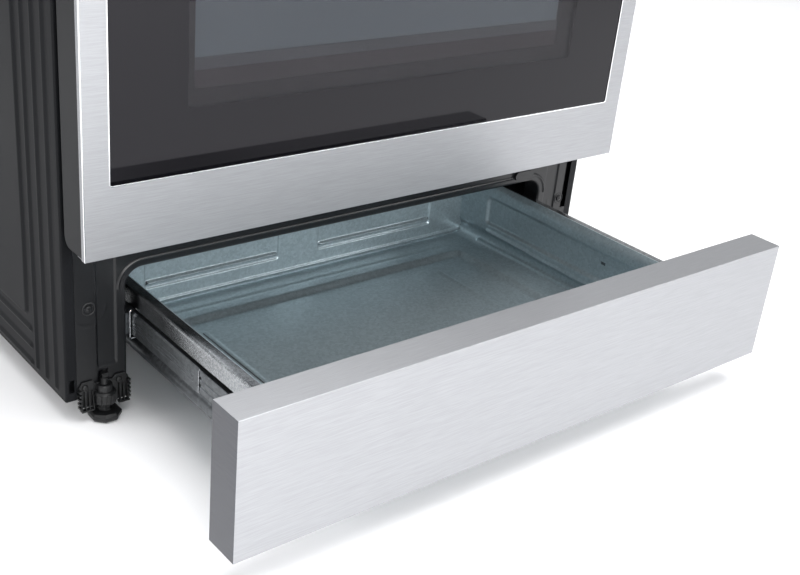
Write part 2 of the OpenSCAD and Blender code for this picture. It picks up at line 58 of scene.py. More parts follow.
class Shell:
    """Points and faces of one piece, in millimetres."""

    def __init__(self):
        self.points = []
        self.faces = []

    def add(self, points, faces):
        """More points, with faces that number them from 0."""
        base = len(self.points)
        self.points += [tuple(p) for p in points]
        self.faces += [[base + i for i in face] for face in faces]
        return self

    def block(self, x0, x1, y0, y1, z0, z1):
        """Plain box between two limits on each axis, for sheet returns and small blocks."""
        points = [(x, y, z) for x in (x0, x1) for y in (y0, y1) for z in (z0, z1)]
        faces = [(0, 1, 3, 2), (4, 6, 7, 5), (0, 4, 5, 1), (2, 3, 7, 6), (0, 2, 6, 4), (1, 5, 7, 3)]
        return self.add(points, faces)

    def prism(self, outline, axis, a, b):
        """Outline in the plane across the axis, given thickness from a to b."""
        n = len(outline)
        points = [along(axis, u, v, w) for w in (a, b) for u, v in outline]
        sides = [(i, (i + 1) % n, n + (i + 1) % n, n + i) for i in range(n)]
        return self.add(points, [tuple(range(n)), tuple(range(2 * n - 1, n - 1, -1))] + sides)

    def ring(self, outer, inner, axis, a, b):
        """Frame between two outlines that have the same number of points."""
        n = len(outer)
        points = [along(axis, u, v, w) for w in (a, b) for loop in (outer, inner) for u, v in loop]
        faces = []
        for i in range(n):
            j = (i + 1) % n
            faces += [(i, j, n + j, n + i), (2 * n + j, 2 * n + i, 3 * n + i, 3 * n + j)]
            faces += [(j, i, 2 * n + i, 2 * n + j), (n + i, n + j, 3 * n + j, 3 * n + i)]
        return self.add(points, faces)

    def lathe(self, profile, place, sides=32):
        """Profile of radius and height turned about the Z axis of the given placing."""
        n = len(profile)
        points = []
        for k in range(sides):
            turn = TAU * k / sides
            points += [place @ Vector((r * math.cos(turn), r * math.sin(turn), h)) for r, h in profile]
        faces = []
        for k in range(sides):
            here, there = k * n, (k + 1) % sides * n
            faces += [(here + i, there + i, there + i + 1, here + i + 1) for i in range(n - 1)]
        faces.append([k * n for k in reversed(range(sides))])
        faces.append([k * n + n - 1 for k in range(sides)])
        return self.add(points, faces)

    def sweep(self, path, normals, profile):
        """Profile of (outward, along Y) steps carried along a path in X and Z."""
        n = len(profile)
        points = []
        for (x, z), (nx, nz) in zip(path, normals):
            points += [(x + o * nx, y, z + o * nz) for o, y in profile]
        faces = []
        for k in range(len(path) - 1):
            here, there = k * n, (k + 1) * n
            faces += [(here + i, here + (i + 1) % n, there + (i + 1) % n, there + i) for i in range(n)]
        faces += [list(range(n))[::-1], [len(points) - n + i for i in range(n)]]
        return self.add(points, faces)

    def pressed(self, us, vs, place, rise, thick, holes=()):
        """Sheet over the lines us and vs. place gives a point and its normal, rise the embossing."""
        columns, rows = len(us), len(vs)
        points = []
        for back in (0.0, thick):
            for u in us:
                for v in vs:
                    at, normal = place(u, v)
                    points.append(Vector(at) + Vector(normal) * (rise(u, v) - back))
        open_cell = [[any(a < (us[i] + us[i + 1]) / 2 < b and c < (vs[j] + vs[j + 1]) / 2 < d
                          for a, b, c, d in holes) for j in range(rows - 1)] for i in range(columns - 1)]

        def is_open(i, j):
            return not (0 <= i < columns - 1 and 0 <= j < rows - 1) or open_cell[i][j]

        under = columns * rows
        faces = []
        for i in range(columns - 1):
            for j in range(rows - 1):
                if open_cell[i][j]:
                    continue
                a, b, c, d = i * rows + j, (i + 1) * rows + j, (i + 1) * rows + j + 1, i * rows + j + 1
                faces += [(a, b, c, d), (under + d, under + c, under + b, under + a)]
                for p, q, gap in ((a, b, is_open(i, j - 1)), (b, c, is_open(i + 1, j)),
                                  (c, d, is_open(i, j + 1)), (d, a, is_open(i - 1, j))):
                    if gap:
                        faces.append((q, p, under + p, under + q))
        return self.add(points, faces)

    def loft(self, layers):
        """Closed skin over a stack of loops that have the same number of points."""
        n = len(layers[0])
        faces = [tuple(range(n))[::-1], tuple(range(n * len(layers) - n, n * len(layers)))]
        for k in range(len(layers) - 1):
            low, high = n * k, n * (k + 1)
            faces += [(low + i, low + (i + 1) % n, high + (i + 1) % n, high + i) for i in range(n)]
        return self.add([p for layer in layers for p in layer], faces)

    def mirrored(self):
        """The shell and its mirror image across the YZ plane."""
        points, faces = list(self.points), list(self.faces)
        return self.add([(-x, y, z) for x, y, z in points], [face[::-1] for face in faces])


def along(axis, u, v, w):
    """Point with w along the axis and u, v in the order of the two other axes."""
    return {"x": (w, u, v), "y": (u, w, v), "z": (u, v, w)}[axis]


def rounded(u0, u1, v0, v1, radius, steps=6):
    """Outline of a rectangle with rounded corners, counterclockwise."""
    corners = ((u1 - radius, v0 + radius, -0.25), (u1 - radius, v1 - radius, 0.0),
               (u0 + radius, v1 - radius, 0.25), (u0 + radius, v0 + radius, 0.5))
    return [(cu + radius * math.cos(TAU * (start + 0.25 * k / steps)),
             cv + radius * math.sin(TAU * (start + 0.25 * k / steps)))
            for cu, cv, start in corners for k in range(steps + 1)]


def lines(*stretches):
    """Sorted grid lines from stretches of (start, end, step)."""
    values = set()
    for start, end, step in stretches:
        count = max(1, round((end - start) / step))
        values |= {round(start + (end - start) * k / count, 3) for k in range(count + 1)}
    return sorted(values)


def ease(t):
    """Smooth step from 0 to 1."""
    t = min(1.0, max(0.0, t))
    return t * t * (3 - 2 * t)


def rib(u, v, u0, v0, u1, v1, half):
    """1 on the middle of a pressed rib between two points, falling smoothly to 0 at its edge."""
    du, dv = u1 - u0, v1 - v0
    t = ((u - u0) * du + (v - v0) * dv) / (du * du + dv * dv)
    t = min(1.0, max(0.0, t))
    return ease(1 - math.hypot(u - u0 - t * du, v - v0 - t * dv) / half)


def field(u, v, u0, u1, v0, v1, radius, edge):
    """1 inside a rounded rectangle, falling to 0 across its sloping edge."""
    qu = max(u0 + radius - u, u - u1 + radius)
    qv = max(v0 + radius - v, v - v1 + radius)
    outside = math.hypot(max(qu, 0), max(qv, 0)) + min(max(qu, qv), 0) - radius
    return ease(-outside / edge)


def look_along(point, axis):
    """Placing at a point whose Z axis is the given direction."""
    return Matrix.Translation(Vector(point)) @ Vector(axis).to_track_quat("Z", "Y").to_matrix().to_4x4()


def lay_grain(mesh):
    """Map whose U runs across the brushing: up on upright faces, front to back on level ones."""
    layer = mesh.uv_layers.new(name="grain")
    for face in mesh.polygons:
        level = abs(face.normal.z) > 0.7
        for corner in face.loop_indices:
            x, y, z = mesh.vertices[mesh.loops[corner].vertex_index].co
            layer.data[corner].uv = (y, x) if level else (z, x + y)


def piece(name, shell, material, body, replaces=(), bevel=0.0, segments=2, angle=35, other=None):
    """Blender object of a shell, with its finish, its body and its rounded edges. other is a
    second finish and the test of a face's centre and normal that gives it."""
    mesh = bpy.data.meshes.new(name)
    mesh.from_pydata([[c * MM for c in p] for p in shell.points], [], shell.faces)
    work = bmesh.new()
    work.from_mesh(mesh)
    bmesh.ops.recalc_face_normals(work, faces=work.faces)
    work.to_mesh(mesh)
    work.free()
    mesh.shade_smooth()
    mesh.set_sharp_from_angle(angle=math.radians(angle))
    mesh.materials.append(material)
    if other:
        mesh.materials.append(other[0])
        for face in mesh.polygons:
            face.material_index = int(other[1](face.center / MM, face.normal))
    lay_grain(mesh)
    obj = bpy.data.objects.new(name, mesh)
    bpy.context.scene.collection.objects.link(obj)
    if bevel:
        round_edges(obj, bevel, segments)
    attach(obj, body)
    if replaces:
        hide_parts(*replaces)
    return obj


def round_edges(obj, width, segments):
    """Small radius along every sharp edge."""
    edge = obj.modifiers.new("rounded_edges", "BEVEL")
    edge.width = width * MM
    edge.segments = segments
    edge.limit_method = "ANGLE"
    edge.angle_limit = math.radians(30)
    edge.harden_normals = True
    edge.use_clamp_overlap = True


def dress(node, material, bevel=0.0, segments=2):
    """A carried-over CAD node gets its finish and, on sharp work, its small edge radius."""
    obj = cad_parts[node]
    obj.data.materials.clear()
    obj.data.materials.append(material)
    if bevel:
        weld = obj.modifiers.new("joined_faces", "WELD")
        weld.merge_threshold = 0.01 * MM
        round_edges(obj, bevel, segments)


def drill(obj, cutter):
    """Cuts the cutter's shape out of an object for good."""
    mesh = bpy.data.meshes.new("cutter")
    mesh.from_pydata([[c * MM for c in p] for p in cutter.points], [], cutter.faces)
    tool = bpy.data.objects.new("cutter", mesh)
    bpy.context.scene.collection.objects.link(tool)
    cut = obj.modifiers.new("cut", "BOOLEAN")
    cut.operation = "DIFFERENCE"
    cut.solver = "EXACT"
    cut.object = tool
    bpy.ops.object.select_all(action="DESELECT")
    bpy.context.view_layer.objects.active = obj
    while obj.modifiers[0] != cut:
        obj.modifiers.move(len(obj.modifiers) - 1, 0)
    bpy.ops.object.modifier_apply(modifier=cut.name)
    bpy.data.objects.remove(tool)


# ---- finishes ----


def linear(code):
    """sRGB hex colour as linear RGBA."""
    parts = [int(code[i:i + 2], 16) / 255 for i in (1, 3, 5)]
    return tuple(c / 12.92 if c <= 0.04045 else ((c + 0.055) / 1.055) ** 2.4 for c in parts) + (1.0,)


def add(tree, kind, inputs=None, **settings):
    """Adds a node, with its settings and with its inputs set or linked."""
    node = tree.nodes.new(kind)
    for name, value in settings.items():
        setattr(node, name, value)
    for name, value in (inputs or {}).items():
        if isinstance(value, bpy.types.NodeSocket):
            tree.links.new(value, node.inputs[name])
        else:
            node.inputs[name].default_value = value
    return node


def finish(name, **constants):
    """New material: its tree, its surface shader and its object coordinates in metres."""
    material = bpy.data.materials.new(name)
    material.use_nodes = True
    tree = material.node_tree
    shader = tree.nodes["Principled BSDF"]
    for socket, value in constants.items():
        shader.inputs[socket.replace("_", " ")].default_value = value
    place = add(tree, "ShaderNodeTexCoord").outputs["Object"]
    return material, tree, shader, place


def stretched(tree, place, scale):
    """Coordinates stretched by a scale for each axis."""
    return add(tree, "ShaderNodeMapping", {"Vector": place, "Scale": scale}).outputs["Vector"]


def noise(tree, vector, scale, detail=3.0, roughness=0.5):
    """Noise whose grains are about one over scale metres wide."""
    return add(tree, "ShaderNodeTexNoise", {"Vector": vector, "Scale": scale, "Detail": detail,
                                            "Roughness": roughness}).outputs["Fac"]


def mixed(tree, factor, dark, light):
    """Colour between two hex colours."""
    node = add(tree, "ShaderNodeMix", data_type="RGBA")
    node.inputs[6].default_value = linear(dark)
    node.inputs[7].default_value = linear(light)
    tree.links.new(factor, node.inputs[0])
    return node.outputs[2]


def between(tree, value, low, high):
    """Value from 0 to 1 brought between two limits."""
    return add(tree, "ShaderNodeMapRange", {"Value": value, "To Min": low, "To Max": high}).outputs["Result"]


def bump(tree, shader, height, depth, strength=1.0):
    """Relief of the given depth in millimetres."""
    relief = add(tree, "ShaderNodeBump", {"Height": height, "Distance": depth * MM, "Strength": strength})
    tree.links.new(relief.outputs["Normal"], shader.inputs["Normal"])


def brushed_stainless(name, dark, light):
    """430 stainless, belt brushed across the width: long fine lines that smear highlights
    up and down. The grain is drawn 0.7 mm wide, coarser than the real 0.1 mm, so it shows."""
    material, tree, shader, place = finish(name, Metallic=0.8, Anisotropic=0.75)
    across = add(tree, "ShaderNodeTangent", direction_type="UV_MAP", uv_map="grain")
    tree.links.new(across.outputs["Tangent"], shader.inputs["Tangent"])
    facing = add(tree, "ShaderNodeSeparateXYZ",
                 {"Vector": add(tree, "ShaderNodeTexCoord").outputs["Normal"]}).outputs["Z"]
    lying = add(tree, "ShaderNodeMath", {0: facing}, operation="ABSOLUTE").outputs["Value"]

    def streaks(length, width):
        """Lines of the brushing, on upright faces and on level ones."""
        upright = noise(tree, stretched(tree, place, (length, length, width)), 1.0, 3.0, 0.65)
        level = noise(tree, stretched(tree, place, (length, width, length)), 1.0, 3.0, 0.65)
        return add(tree, "ShaderNodeMix", {0: lying, 2: upright, 3: level}).outputs[0]

    fine = streaks(32, 1400)
    broad = streaks(3, 260)
    both = add(tree, "ShaderNodeMath", {0: fine, 1: 0.92}, operation="MULTIPLY").outputs["Value"]
    tone = add(tree, "ShaderNodeMath", {0: broad, 1: 0.08, 2: both},
               operation="MULTIPLY_ADD").outputs["Value"]
    tight = add(tree, "ShaderNodeMapRange",
                {"Value": tone, "From Min": 0.3, "From Max": 0.7}).outputs["Result"]
    tree.links.new(mixed(tree, tight, dark, light), shader.inputs["Base Color"])
    tree.links.new(between(tree, tight, 0.4, 0.45), shader.inputs["Roughness"])
    bump(tree, shader, tone, 0.02, 0.2)
    return material


def painted(name, dark, light, rough, grit_mm, relief_mm=0.0, **constants):
    """Baked paint: a colour that hardly varies, with the orange peel or grit of the coat."""
    material, tree, shader, place = finish(name, **constants)
    grit = noise(tree, place, 1000 / grit_mm, 2.0)
    cloud = noise(tree, place, 12.0, 3.0)
    blend = add(tree, "ShaderNodeMath", {0: grit, 1: cloud}, operation="MULTIPLY").outputs["Value"]
    tree.links.new(mixed(tree, between(tree, blend, 0.0, 2.0), dark, light), shader.inputs["Base Color"])
    tree.links.new(between(tree, cloud, rough - 0.05, rough + 0.05), shader.inputs["Roughness"])
    if relief_mm:
        bump(tree, shader, grit, relief_mm, 0.6)
    return material


def zinc_coated(name, dark, light, rough, spangle_mm, relief_mm, metallic):
    """Hot-dip galvanised steel: crystals of zinc a few millimetres wide that each catch the
    light a little differently, under a fine grain."""
    material, tree, shader, place = finish(name, Metallic=metallic)
    crystal = add(tree, "ShaderNodeTexVoronoi", {"Vector": place, "Scale": 1000 / spangle_mm},
                  feature="F1").outputs["Color"]
    flake = add(tree, "ShaderNodeSeparateXYZ", {"Vector": crystal}).outputs["X"]
    grain = noise(tree, place, 900.0, 3.0, 0.6)
    cloud = noise(tree, place, 14.0, 2.0)
    some = add(tree, "ShaderNodeMath", {0: flake, 1: 0.35, 2: 0.0}, operation="MULTIPLY_ADD")
    tree.links.new(between(tree, grain, 0.0, 0.65), some.inputs[2])
    tree.links.new(mixed(tree, some.outputs["Value"], dark, light), shader.inputs["Base Color"])
    tree.links.new(between(tree, cloud, rough - 0.06, rough + 0.08), shader.inputs["Roughness"])
    bump(tree, shader, grain, relief_mm, 0.7)
    return material


def speckled_enamel(name, ground, speck, rough):
    """Porcelain enamel fired on steel: glassy, dark, with fine pale specks."""
    speck_mm = 1.2
    material, tree, shader, place = finish(name, Coat_Weight=0.6, Coat_Roughness=0.08)
    dots = add(tree, "ShaderNodeTexVoronoi", {"Vector": place, "Scale": 1000 / (speck_mm * 3)},
               feature="F1").outputs["Distance"]
    mark = add(tree, "ShaderNodeMapRange", {"Value": dots, "From Min": 0.1, "From Max": 0.22,
                                            "To Min": 1.0, "To Max": 0.0}).outputs["Result"]
    tree.links.new(mixed(tree, mark, ground, speck), shader.inputs["Base Color"])
    wave = noise(tree, place, 60.0, 2.0)
    tree.links.new(between(tree, wave, rough - 0.04, rough + 0.04), shader.inputs["Roughness"])
    bump(tree, shader, wave, 0.15, 0.3)
    return material


def sand_cast(name, dark, light, rough, metallic, grain_mm, relief_mm):
    """Sand-cast metal: a pebbled skin left by the mould."""
    material, tree, shader, place = finish(name, Metallic=metallic)
    pebble = noise(tree, place, 1000 / grain_mm, 5.0, 0.6)
    tree.links.new(mixed(tree, pebble, dark, light), shader.inputs["Base Color"])
    tree.links.new(between(tree, pebble, rough - 0.08, rough + 0.08), shader.inputs["Roughness"])
    bump(tree, shader, pebble, relief_mm)
    return material


def drawn_metal(name, dark, light, rough, axis_scale):
    """Drawn, rolled or turned metal: faint lines along the way it was worked."""
    material, tree, shader, place = finish(name, Metallic=1.0)
    streak = noise(tree, stretched(tree, place, axis_scale), 1.0, 3.0)
    tree.links.new(mixed(tree, streak, dark, light), shader.inputs["Base Color"])
    tree.links.new(between(tree, streak, rough - 0.06, rough + 0.08), shader.inputs["Roughness"])
    bump(tree, shader, streak, 0.02, 0.4)
    return material


def plate_glass(name, tint, rough, **constants):
    """Float glass: black or grey body, clear reflections, the faintest wave."""
    material, tree, shader, place = finish(name, **constants)
    wave = noise(tree, place, 3.0, 1.0)
    tree.links.new(mixed(tree, wave, *tint), shader.inputs["Base Color"])
    tree.links.new(between(tree, wave, rough, rough + 0.02), shader.inputs["Roughness"])
    return material


def fibre(name, dark, light, thread_mm):
    """Glass fibre: matted or woven threads with deep shade between them."""
    material, tree, shader, place = finish(name, Sheen_Weight=0.2)
    strand = noise(tree, stretched(tree, place, (1, 0.3, 1)), 1000 / thread_mm, 6.0, 0.7)
    tree.links.new(mixed(tree, strand, dark, light), shader.inputs["Base Color"])
    tree.links.new(between(tree, strand, 0.8, 0.9), shader.inputs["Roughness"])
    bump(tree, shader, strand, thread_mm * 0.5)
    return material


# Stainless: the brushed face; a darker copy of it as painted shade on the drawer front's end faces;
# and near-white polished metal for trim, also used as painted highlight along the door's edges.
STEEL = brushed_stainless("brushed_stainless", "#9d9ea1", "#acadb0")
STEEL_END_SHADE = brushed_stainless("brushed_stainless_painted_end_shade", "#55565a", "#66676b")
POLISHED_AND_HIGHLIGHT = drawn_metal("polished_stainless_and_painted_highlight", "#e2e3e5", "#f4f5f6", 0.14, (20, 20, 20))
# Powder coat and paint: charcoal sides, a glossier frame, dull caps, moulded feet, and dead black
# painted shade for the sheet behind the door glass, the rear perforations and the space behind the vents.
CHARCOAL = painted("charcoal_powder_coat", "#0e0f11", "#16171a", 0.5, 1.6, 0.05,
                   Specular_IOR_Level=0.13)
FRAME_BLACK = painted("satin_black_paint", "#090a0c", "#101114", 0.34, 1.6, 0.03,
                      Specular_IOR_Level=0.45)
SIDE_CAP = painted("charcoal_painted_trim", "#131416", "#1b1c1e", 0.5, 1.4, 0.03,
                   Specular_IOR_Level=0.2)
LEG_BLACK = painted("black_moulded_nylon", "#08090a", "#141517", 0.42, 1.0, 0.03)
SHADOW_BLACK = painted("black_painted_shade", "#060607", "#08080a", 0.7, 6.0)
# Zinc: pale spangled sheet, darker rolled slides whose zinc also darkens the drawer pan's outward
# faces as painted shade, a bright folded rim. Enamel lines the oven.
GALVANISED = zinc_coated("galvanised_steel", "#8a979d", "#bccacf", 0.33, 3.0, 0.03, 0.7)
ZINC_AND_SHADE = zinc_coated("zinc_plated_slide_steel_and_painted_shade", "#484b4e", "#808487", 0.34, 4.0, 0.04, 0.9)
BRIGHT_ZINC = zinc_coated("bright_galvanised_rim", "#5c6164", "#cfd2d4", 0.2, 2.0, 0.2, 1.0)
ENAMEL = speckled_enamel("blue_grey_porcelain_enamel", "#2b3038", "#5c6470", 0.22)
# Glass: the clear middle lets the window show through, the printed border doesn't. The window's
# outer pane is an opaque pale bluish grey, painted light for the window's lighter look, and grey sills edge
# it.
BLACK_GLASS = plate_glass("tinted_door_glass", ("#050506", "#08080a"), 0.02, IOR=1.53, Alpha=0.5,
                          Specular_Tint=(0.94, 0.92, 1.0, 1.0))
PRINTED_GLASS = plate_glass("black_printed_glass", ("#050506", "#08080a"), 0.02, IOR=1.53,
                            Specular_IOR_Level=0.25, Specular_Tint=(0.94, 0.92, 1.0, 1.0))
SILL_WARM = painted("warm_grey_sill_paint", "#4e474b", "#585155", 0.5, 2.0)
SILL_COOL = painted("cool_grey_sill_paint", "#757b83", "#81878f", 0.45, 2.0)
WINDOW_PAINTED_LIGHT = plate_glass("pale_pane_painted_light", ("#a0b2c0", "#b7c8d4"), 0.12)
INNER_PANE = plate_glass("inner_heat_glass", ("#14181d", "#1a1f25"), 0.03)
DISPLAY = plate_glass("black_display_glass", ("#050506", "#08080a"), 0.03)
# Cast, drawn and turned metal: matt and pebbled iron, soft grey aluminium, bright plated wire,
# yellow brass, and knobs with fine lines.
CAST_IRON = sand_cast("enamelled_cast_iron", "#101011", "#1c1c1e", 0.55, 0.0, 1.6, 0.12)
CAP_ENAMEL = painted("matte_black_enamel", "#0d0d0e", "#161617", 0.45, 1.2, 0.03)
CAST_ALUMINIUM = sand_cast("die_cast_aluminium", "#8f9295", "#b4b7ba", 0.42, 1.0, 1.2, 0.05)
PLATED = drawn_metal("zinc_plated_steel", "#7b8083", "#a5aaad", 0.32, (60, 60, 400))
CHROME_WIRE = drawn_metal("nickel_plated_wire", "#b4b6b9", "#d8dadc", 0.2, (300, 300, 300))
BURNER_STEEL = drawn_metal("aluminised_steel_tube", "#8c8f92", "#b4b7ba", 0.4, (200, 30, 200))
PIPE_STEEL = drawn_metal("aluminium_gas_pipe", "#8b8d8f", "#b0b2b4", 0.35, (30, 300, 300))
BRASS = drawn_metal("machined_brass", "#9a7f3e", "#c7a860", 0.28, (400, 400, 400))
KNOB_METAL = drawn_metal("spun_aluminium_knob", "#98999c", "#bdbfc1", 0.34, (500, 500, 60))
# Ceramic, fibre, nylon and print.
LAMP_GLASS = plate_glass("frosted_lamp_glass", ("#e6e2d2", "#f2efe4"), 0.35)
CERAMIC = plate_glass("glazed_spark_ceramic", ("#e4e0d6", "#efece4"), 0.2)
WOOL = fibre("grey_glass_wool_blanket", "#4a4b4c", "#8a8b8b", 1.5)
GASKET = fibre("woven_glass_gasket", "#1b1b1d", "#3a3a3d", 1.2)
PLASTIC = painted("black_nylon", "#101113", "#1a1b1d", 0.4, 1.0, 0.02)
PRINT_GREY = painted("grey_screen_print", "#8d8f92", "#a2a4a7", 0.5, 0.6)
PRINT_BLACK = painted("black_screen_print", "#0c0c0d", "#151516", 0.5, 0.6)
READOUT = plate_glass("unlit_readout_glass", ("#0e1416", "#141c1f"), 0.06)

# ---- casing ----

_, SIDE_X, FRAME_Y, BACK_Y, PANEL_Z, SIDE_TOP = span("side_panel_right")
SHEET = 1.2


def side_panel(name, sign):
    """Folded side: front flange, rounded bend, then the big face with its pressed ribs and its
    raised middle field. The face is ribbed near the front, the rear, the foot and the top."""
    flange = 12.5
    bend = 2.0
    ribs_y = [69.5, 45.5, 21.5]
    rib_z = [79.0, 58.0, 37.0]
    rib_high = 2.4
    rib_half = 5.2
    depth = BACK_Y - FRAME_Y
    height = SIDE_TOP - PANEL_Z
    flat = flange - bend
    start = flat + math.pi / 2 * bend

    def place(s, z):
        """s runs along the flange, round the bend and down the length of the side."""
        if s < flat:
            x, y, nx, ny = SIDE_X - flange + s, FRAME_Y, 0.0, -1.0
        elif s < start:
            turn = (s - flat) / bend
            x = SIDE_X - bend + bend * math.sin(turn)
            y = FRAME_Y + bend - bend * math.cos(turn)
            nx, ny = math.sin(turn), -math.cos(turn)
        else:
            x, y, nx, ny = SIDE_X, FRAME_Y + bend + s - start, 1.0, 0.0
        return (sign * x, y, z), (sign * nx, ny, 0.0)

    def rise(s, z):
        """Height of the pressing: the ribs' and the middle field's, whichever is higher."""
        if s < start:
            return 0.0
        y = s - start + bend
        near_y = min(y, depth - y)
        low = z - PANEL_Z
        near_z = min(low, height - low)
        high = 0.0
        for at in ribs_y:
            high = max(high, rib(near_y, near_z, at, 10, at, height / 2 + 1, rib_half))
        for at in rib_z:
            high = max(high, rib(near_y, near_z, 84, at - PANEL_Z, depth, at - PANEL_Z, rib_half))
        inside = field(near_y, near_z, 87, depth, 62, height, 14, 3.5)
        return rib_high * max(high, inside)

    bends = [round(flat + math.pi / 2 * bend * k / 4, 3) for k in range(5)]
    near = start - bend
    far = near + depth
    along_side = lines((near + 14, near + 95, 1.3), (near + 95, far - 95, 40),
                       (far - 95, far - 14, 1.3), (far - 14, far, 7))
    us = sorted(set([0.0, 2.5, 8.5] + bends + along_side))
    vs = lines((PANEL_Z, PANEL_Z + 10, 5), (PANEL_Z + 10, PANEL_Z + 25, 1.5),
               (PANEL_Z + 3, PANEL_Z + 70, 1.3), (PANEL_Z + 70, SIDE_TOP - 70, 40),
               (SIDE_TOP - 70, SIDE_TOP - 3, 1.3), (SIDE_TOP - 3, SIDE_TOP, 3), (38, 53, 5))
    shell = Shell().pressed(us, vs, place, rise, SHEET, holes=[(2.5, 8.5, 38, 53)])
    rear_x = sorted((sign * (SIDE_X - 15), sign * (SIDE_X - 0.6)))
    shell.block(*rear_x, BACK_Y - SHEET, BACK_Y, PANEL_Z, SIDE_TOP)
    return piece(name, shell, CHARCOAL, "range_body", [name], angle=50)


side_panel("side_panel_right", 1)
side_panel("side_panel_left", -1)


def screw_head(shell, x, y, z, radius=4.5, ring=0.0):
    """Pan-head screw driven along +Y, with its cross recess and, round some, a pressed ring."""
    place = look_along((x, y, z), (0, -1, 0))
    shell.lathe([(radius, -0.5), (radius, 0.6), (radius * 0.85, 1.5), (radius * 0.5, 2.0),
                 (radius * 0.22, 2.1), (radius * 0.12, 1.2)], place, 20)
    if ring:
        shell.lathe([(ring, -0.5), (ring + 0.3, 0.5), (ring + 0.9, 0.8), (ring + 1.5, 0.5),
                     (ring + 1.8, -0.5)], place, 32)
    return shell


OPEN_X = 307.0
OPEN_Z = 168.0
OPEN_R = 20.0
POST_X = 365.2
DOOR_LOW = span("door_frame")[4]


def opening_path(offset, foot):
    """Line round the drawer opening at a distance outside it, with its outward normals."""
    path, normals = [(OPEN_X + offset, foot)], [(1.0, 0.0)]
    for k in range(13):
        turn = TAU * k / 48
        normals.append((math.cos(turn), math.sin(turn)))
        path.append((OPEN_X - OPEN_R + (OPEN_R + offset) * math.cos(turn),
                     OPEN_Z - OPEN_R + (OPEN_R + offset) * math.sin(turn)))
    path += [(-x, z) for x, z in reversed(path)]
    normals += [(-x, z) for x, z in reversed(normals)]
    return path, normals


def front_frame():
    """Black front frame: stepped posts, the rail over the drawer and the rolled edge round the
    opening, with a bead that stiffens it."""
    lip = 3.0
    top = DOOR_LOW - 0.5
    shell = Shell()
    path, normals = opening_path(0.0, PANEL_Z)
    roll = [(lip * (1 - math.sin(TAU * k / 24)), FRAME_Y + lip * (1 - math.cos(TAU * k / 24)))
            for k in range(7)]
    inner = [(o + SHEET, y + 1.0) for o, y in reversed(roll)]
    shell.sweep(path, normals, roll + [(0.0, FRAME_Y + 26), (SHEET, FRAME_Y + 26)] + inner)
    bead, bead_normals = opening_path(9.5, 150.0)
    shell.sweep(bead, bead_normals, [(-2.6, FRAME_Y + 0.4), (-1.3, FRAME_Y - 0.9), (0, FRAME_Y - 1.4),
                                     (1.3, FRAME_Y - 0.9), (2.6, FRAME_Y + 0.4)])
    edge = OPEN_X + lip
    corner = [(OPEN_X - OPEN_R + (OPEN_R + lip) * math.cos(TAU * k / 32),
               OPEN_Z - OPEN_R + (OPEN_R + lip) * math.sin(TAU * k / 32)) for k in range(9)]
    rail = [(-edge, top), (edge, top)] + corner + [(-x, z) for x, z in reversed(corner)]
    shell.prism(rail, "y", FRAME_Y, FRAME_Y + SHEET)

    def place(x, z):
        return (x, FRAME_Y, z), (0.0, -1.0, 0.0)

    def step(x, z):
        """The post's recess and the half ring round its screw."""
        recess = ease((x - 318) / 2.2) * ease((342 - x) / 2.2) * ease((z - 60) / 6)
        arc = math.hypot(x - 349.7, z - 133)
        ring = 0.35 * max(0.0, 1 - abs(arc - 20) / 1.6) * (1 if z < 133 else 0)
        return ring - 2.0 * recess

    xs = lines((edge, 316, 2), (316, 322, 0.8), (322, 338, 2), (338, 343, 0.8), (343, POST_X, 1.9),
               (329.5, 341.5, 12), (355.7, POST_X, 9.5))
    zs = lines((PANEL_Z, 58, 6), (58, 70, 1.5), (70, 110, 8), (110, 156, 1.6), (156, top, 6), (57, 118, 61))
    notch = (329.5, 341.5, PANEL_Z, 57)
    hinge_slot = (355.7, POST_X, 118, top)
    shell.pressed(xs, zs, place, step, SHEET, holes=[notch, hinge_slot])
    left = Shell().pressed(xs, zs, place, step, SHEET, holes=[notch])
    shell.add([(-x, y, z) for x, y, z in left.points], left.faces)
    for side in (-1, 1):
        shell.block(*sorted((side * 322, side * 349)), FRAME_Y + 3.0, FRAME_Y + 4.0, PANEL_Z, 64)
        shell.block(*sorted((side * 350, side * 376)), FRAME_Y + 9.0, FRAME_Y + 10.0, PANEL_Z, top + 2)
    frame_piece = piece("front_frame", shell, FRAME_BLACK, "range_body", ["front_frame"])
    slots = Shell()
    slots.prism(rounded(255, 288, 174, 186, 6), "y", FRAME_Y - 4, FRAME_Y + 4)
    drill(frame_piece, slots)
    screws = Shell()
    for side in (-1, 1):
        screw_head(screws, side * 349.7, FRAME_Y, 133, 4.2, 6.0)
    piece("front_frame_screws", screws, FRAME_BLACK, "range_body", bevel=0.15)


front_frame()
dress("rear_rail", FRAME_BLACK, 0.4)

# ---- levelling legs ----

FOOT_X, FOOT_Y = 335.5, 286.5


def octagon(radius, z):
    """Eight corners of a levelling foot at one height."""
    return [(radius * math.cos(TAU * (k + 0.5) / 8), radius * math.sin(TAU * (k + 0.5) / 8), z)
            for k in range(8)]


def leg(name, sx, sy):
    """Moulded octagonal foot with a waist, on a threaded stem with a square top."""
    shell = Shell()
    rings = [(14.2, 0.0), (16.4, 1.0), (18.2, 3.8), (18.2, 7.2), (15.2, 9.6), (8.0, 10.8),
             (6.6, 12.0), (6.6, 17.0)]
    shell.loft([octagon(radius, z) for radius, z in rings])
    thread = []
    z = 14.0
    while z < 49.0:
        thread += [(4.3, z), (5.0, z + 0.75)]
        z += 1.5
    shell.lathe([(0.5, 12.0)] + thread + [(4.6, 49.5), (0.5, 50.0)], Matrix.Identity(4), 24)
    shell.block(-3.2, 3.2, -3.2, 3.2, 49.0, 55.0)
    shell.points = [(sx * FOOT_X + x, sy * FOOT_Y + y, z) for x, y, z in shell.points]
    piece(name, shell, LEG_BLACK, name, [name], bevel=0.5, angle=25)


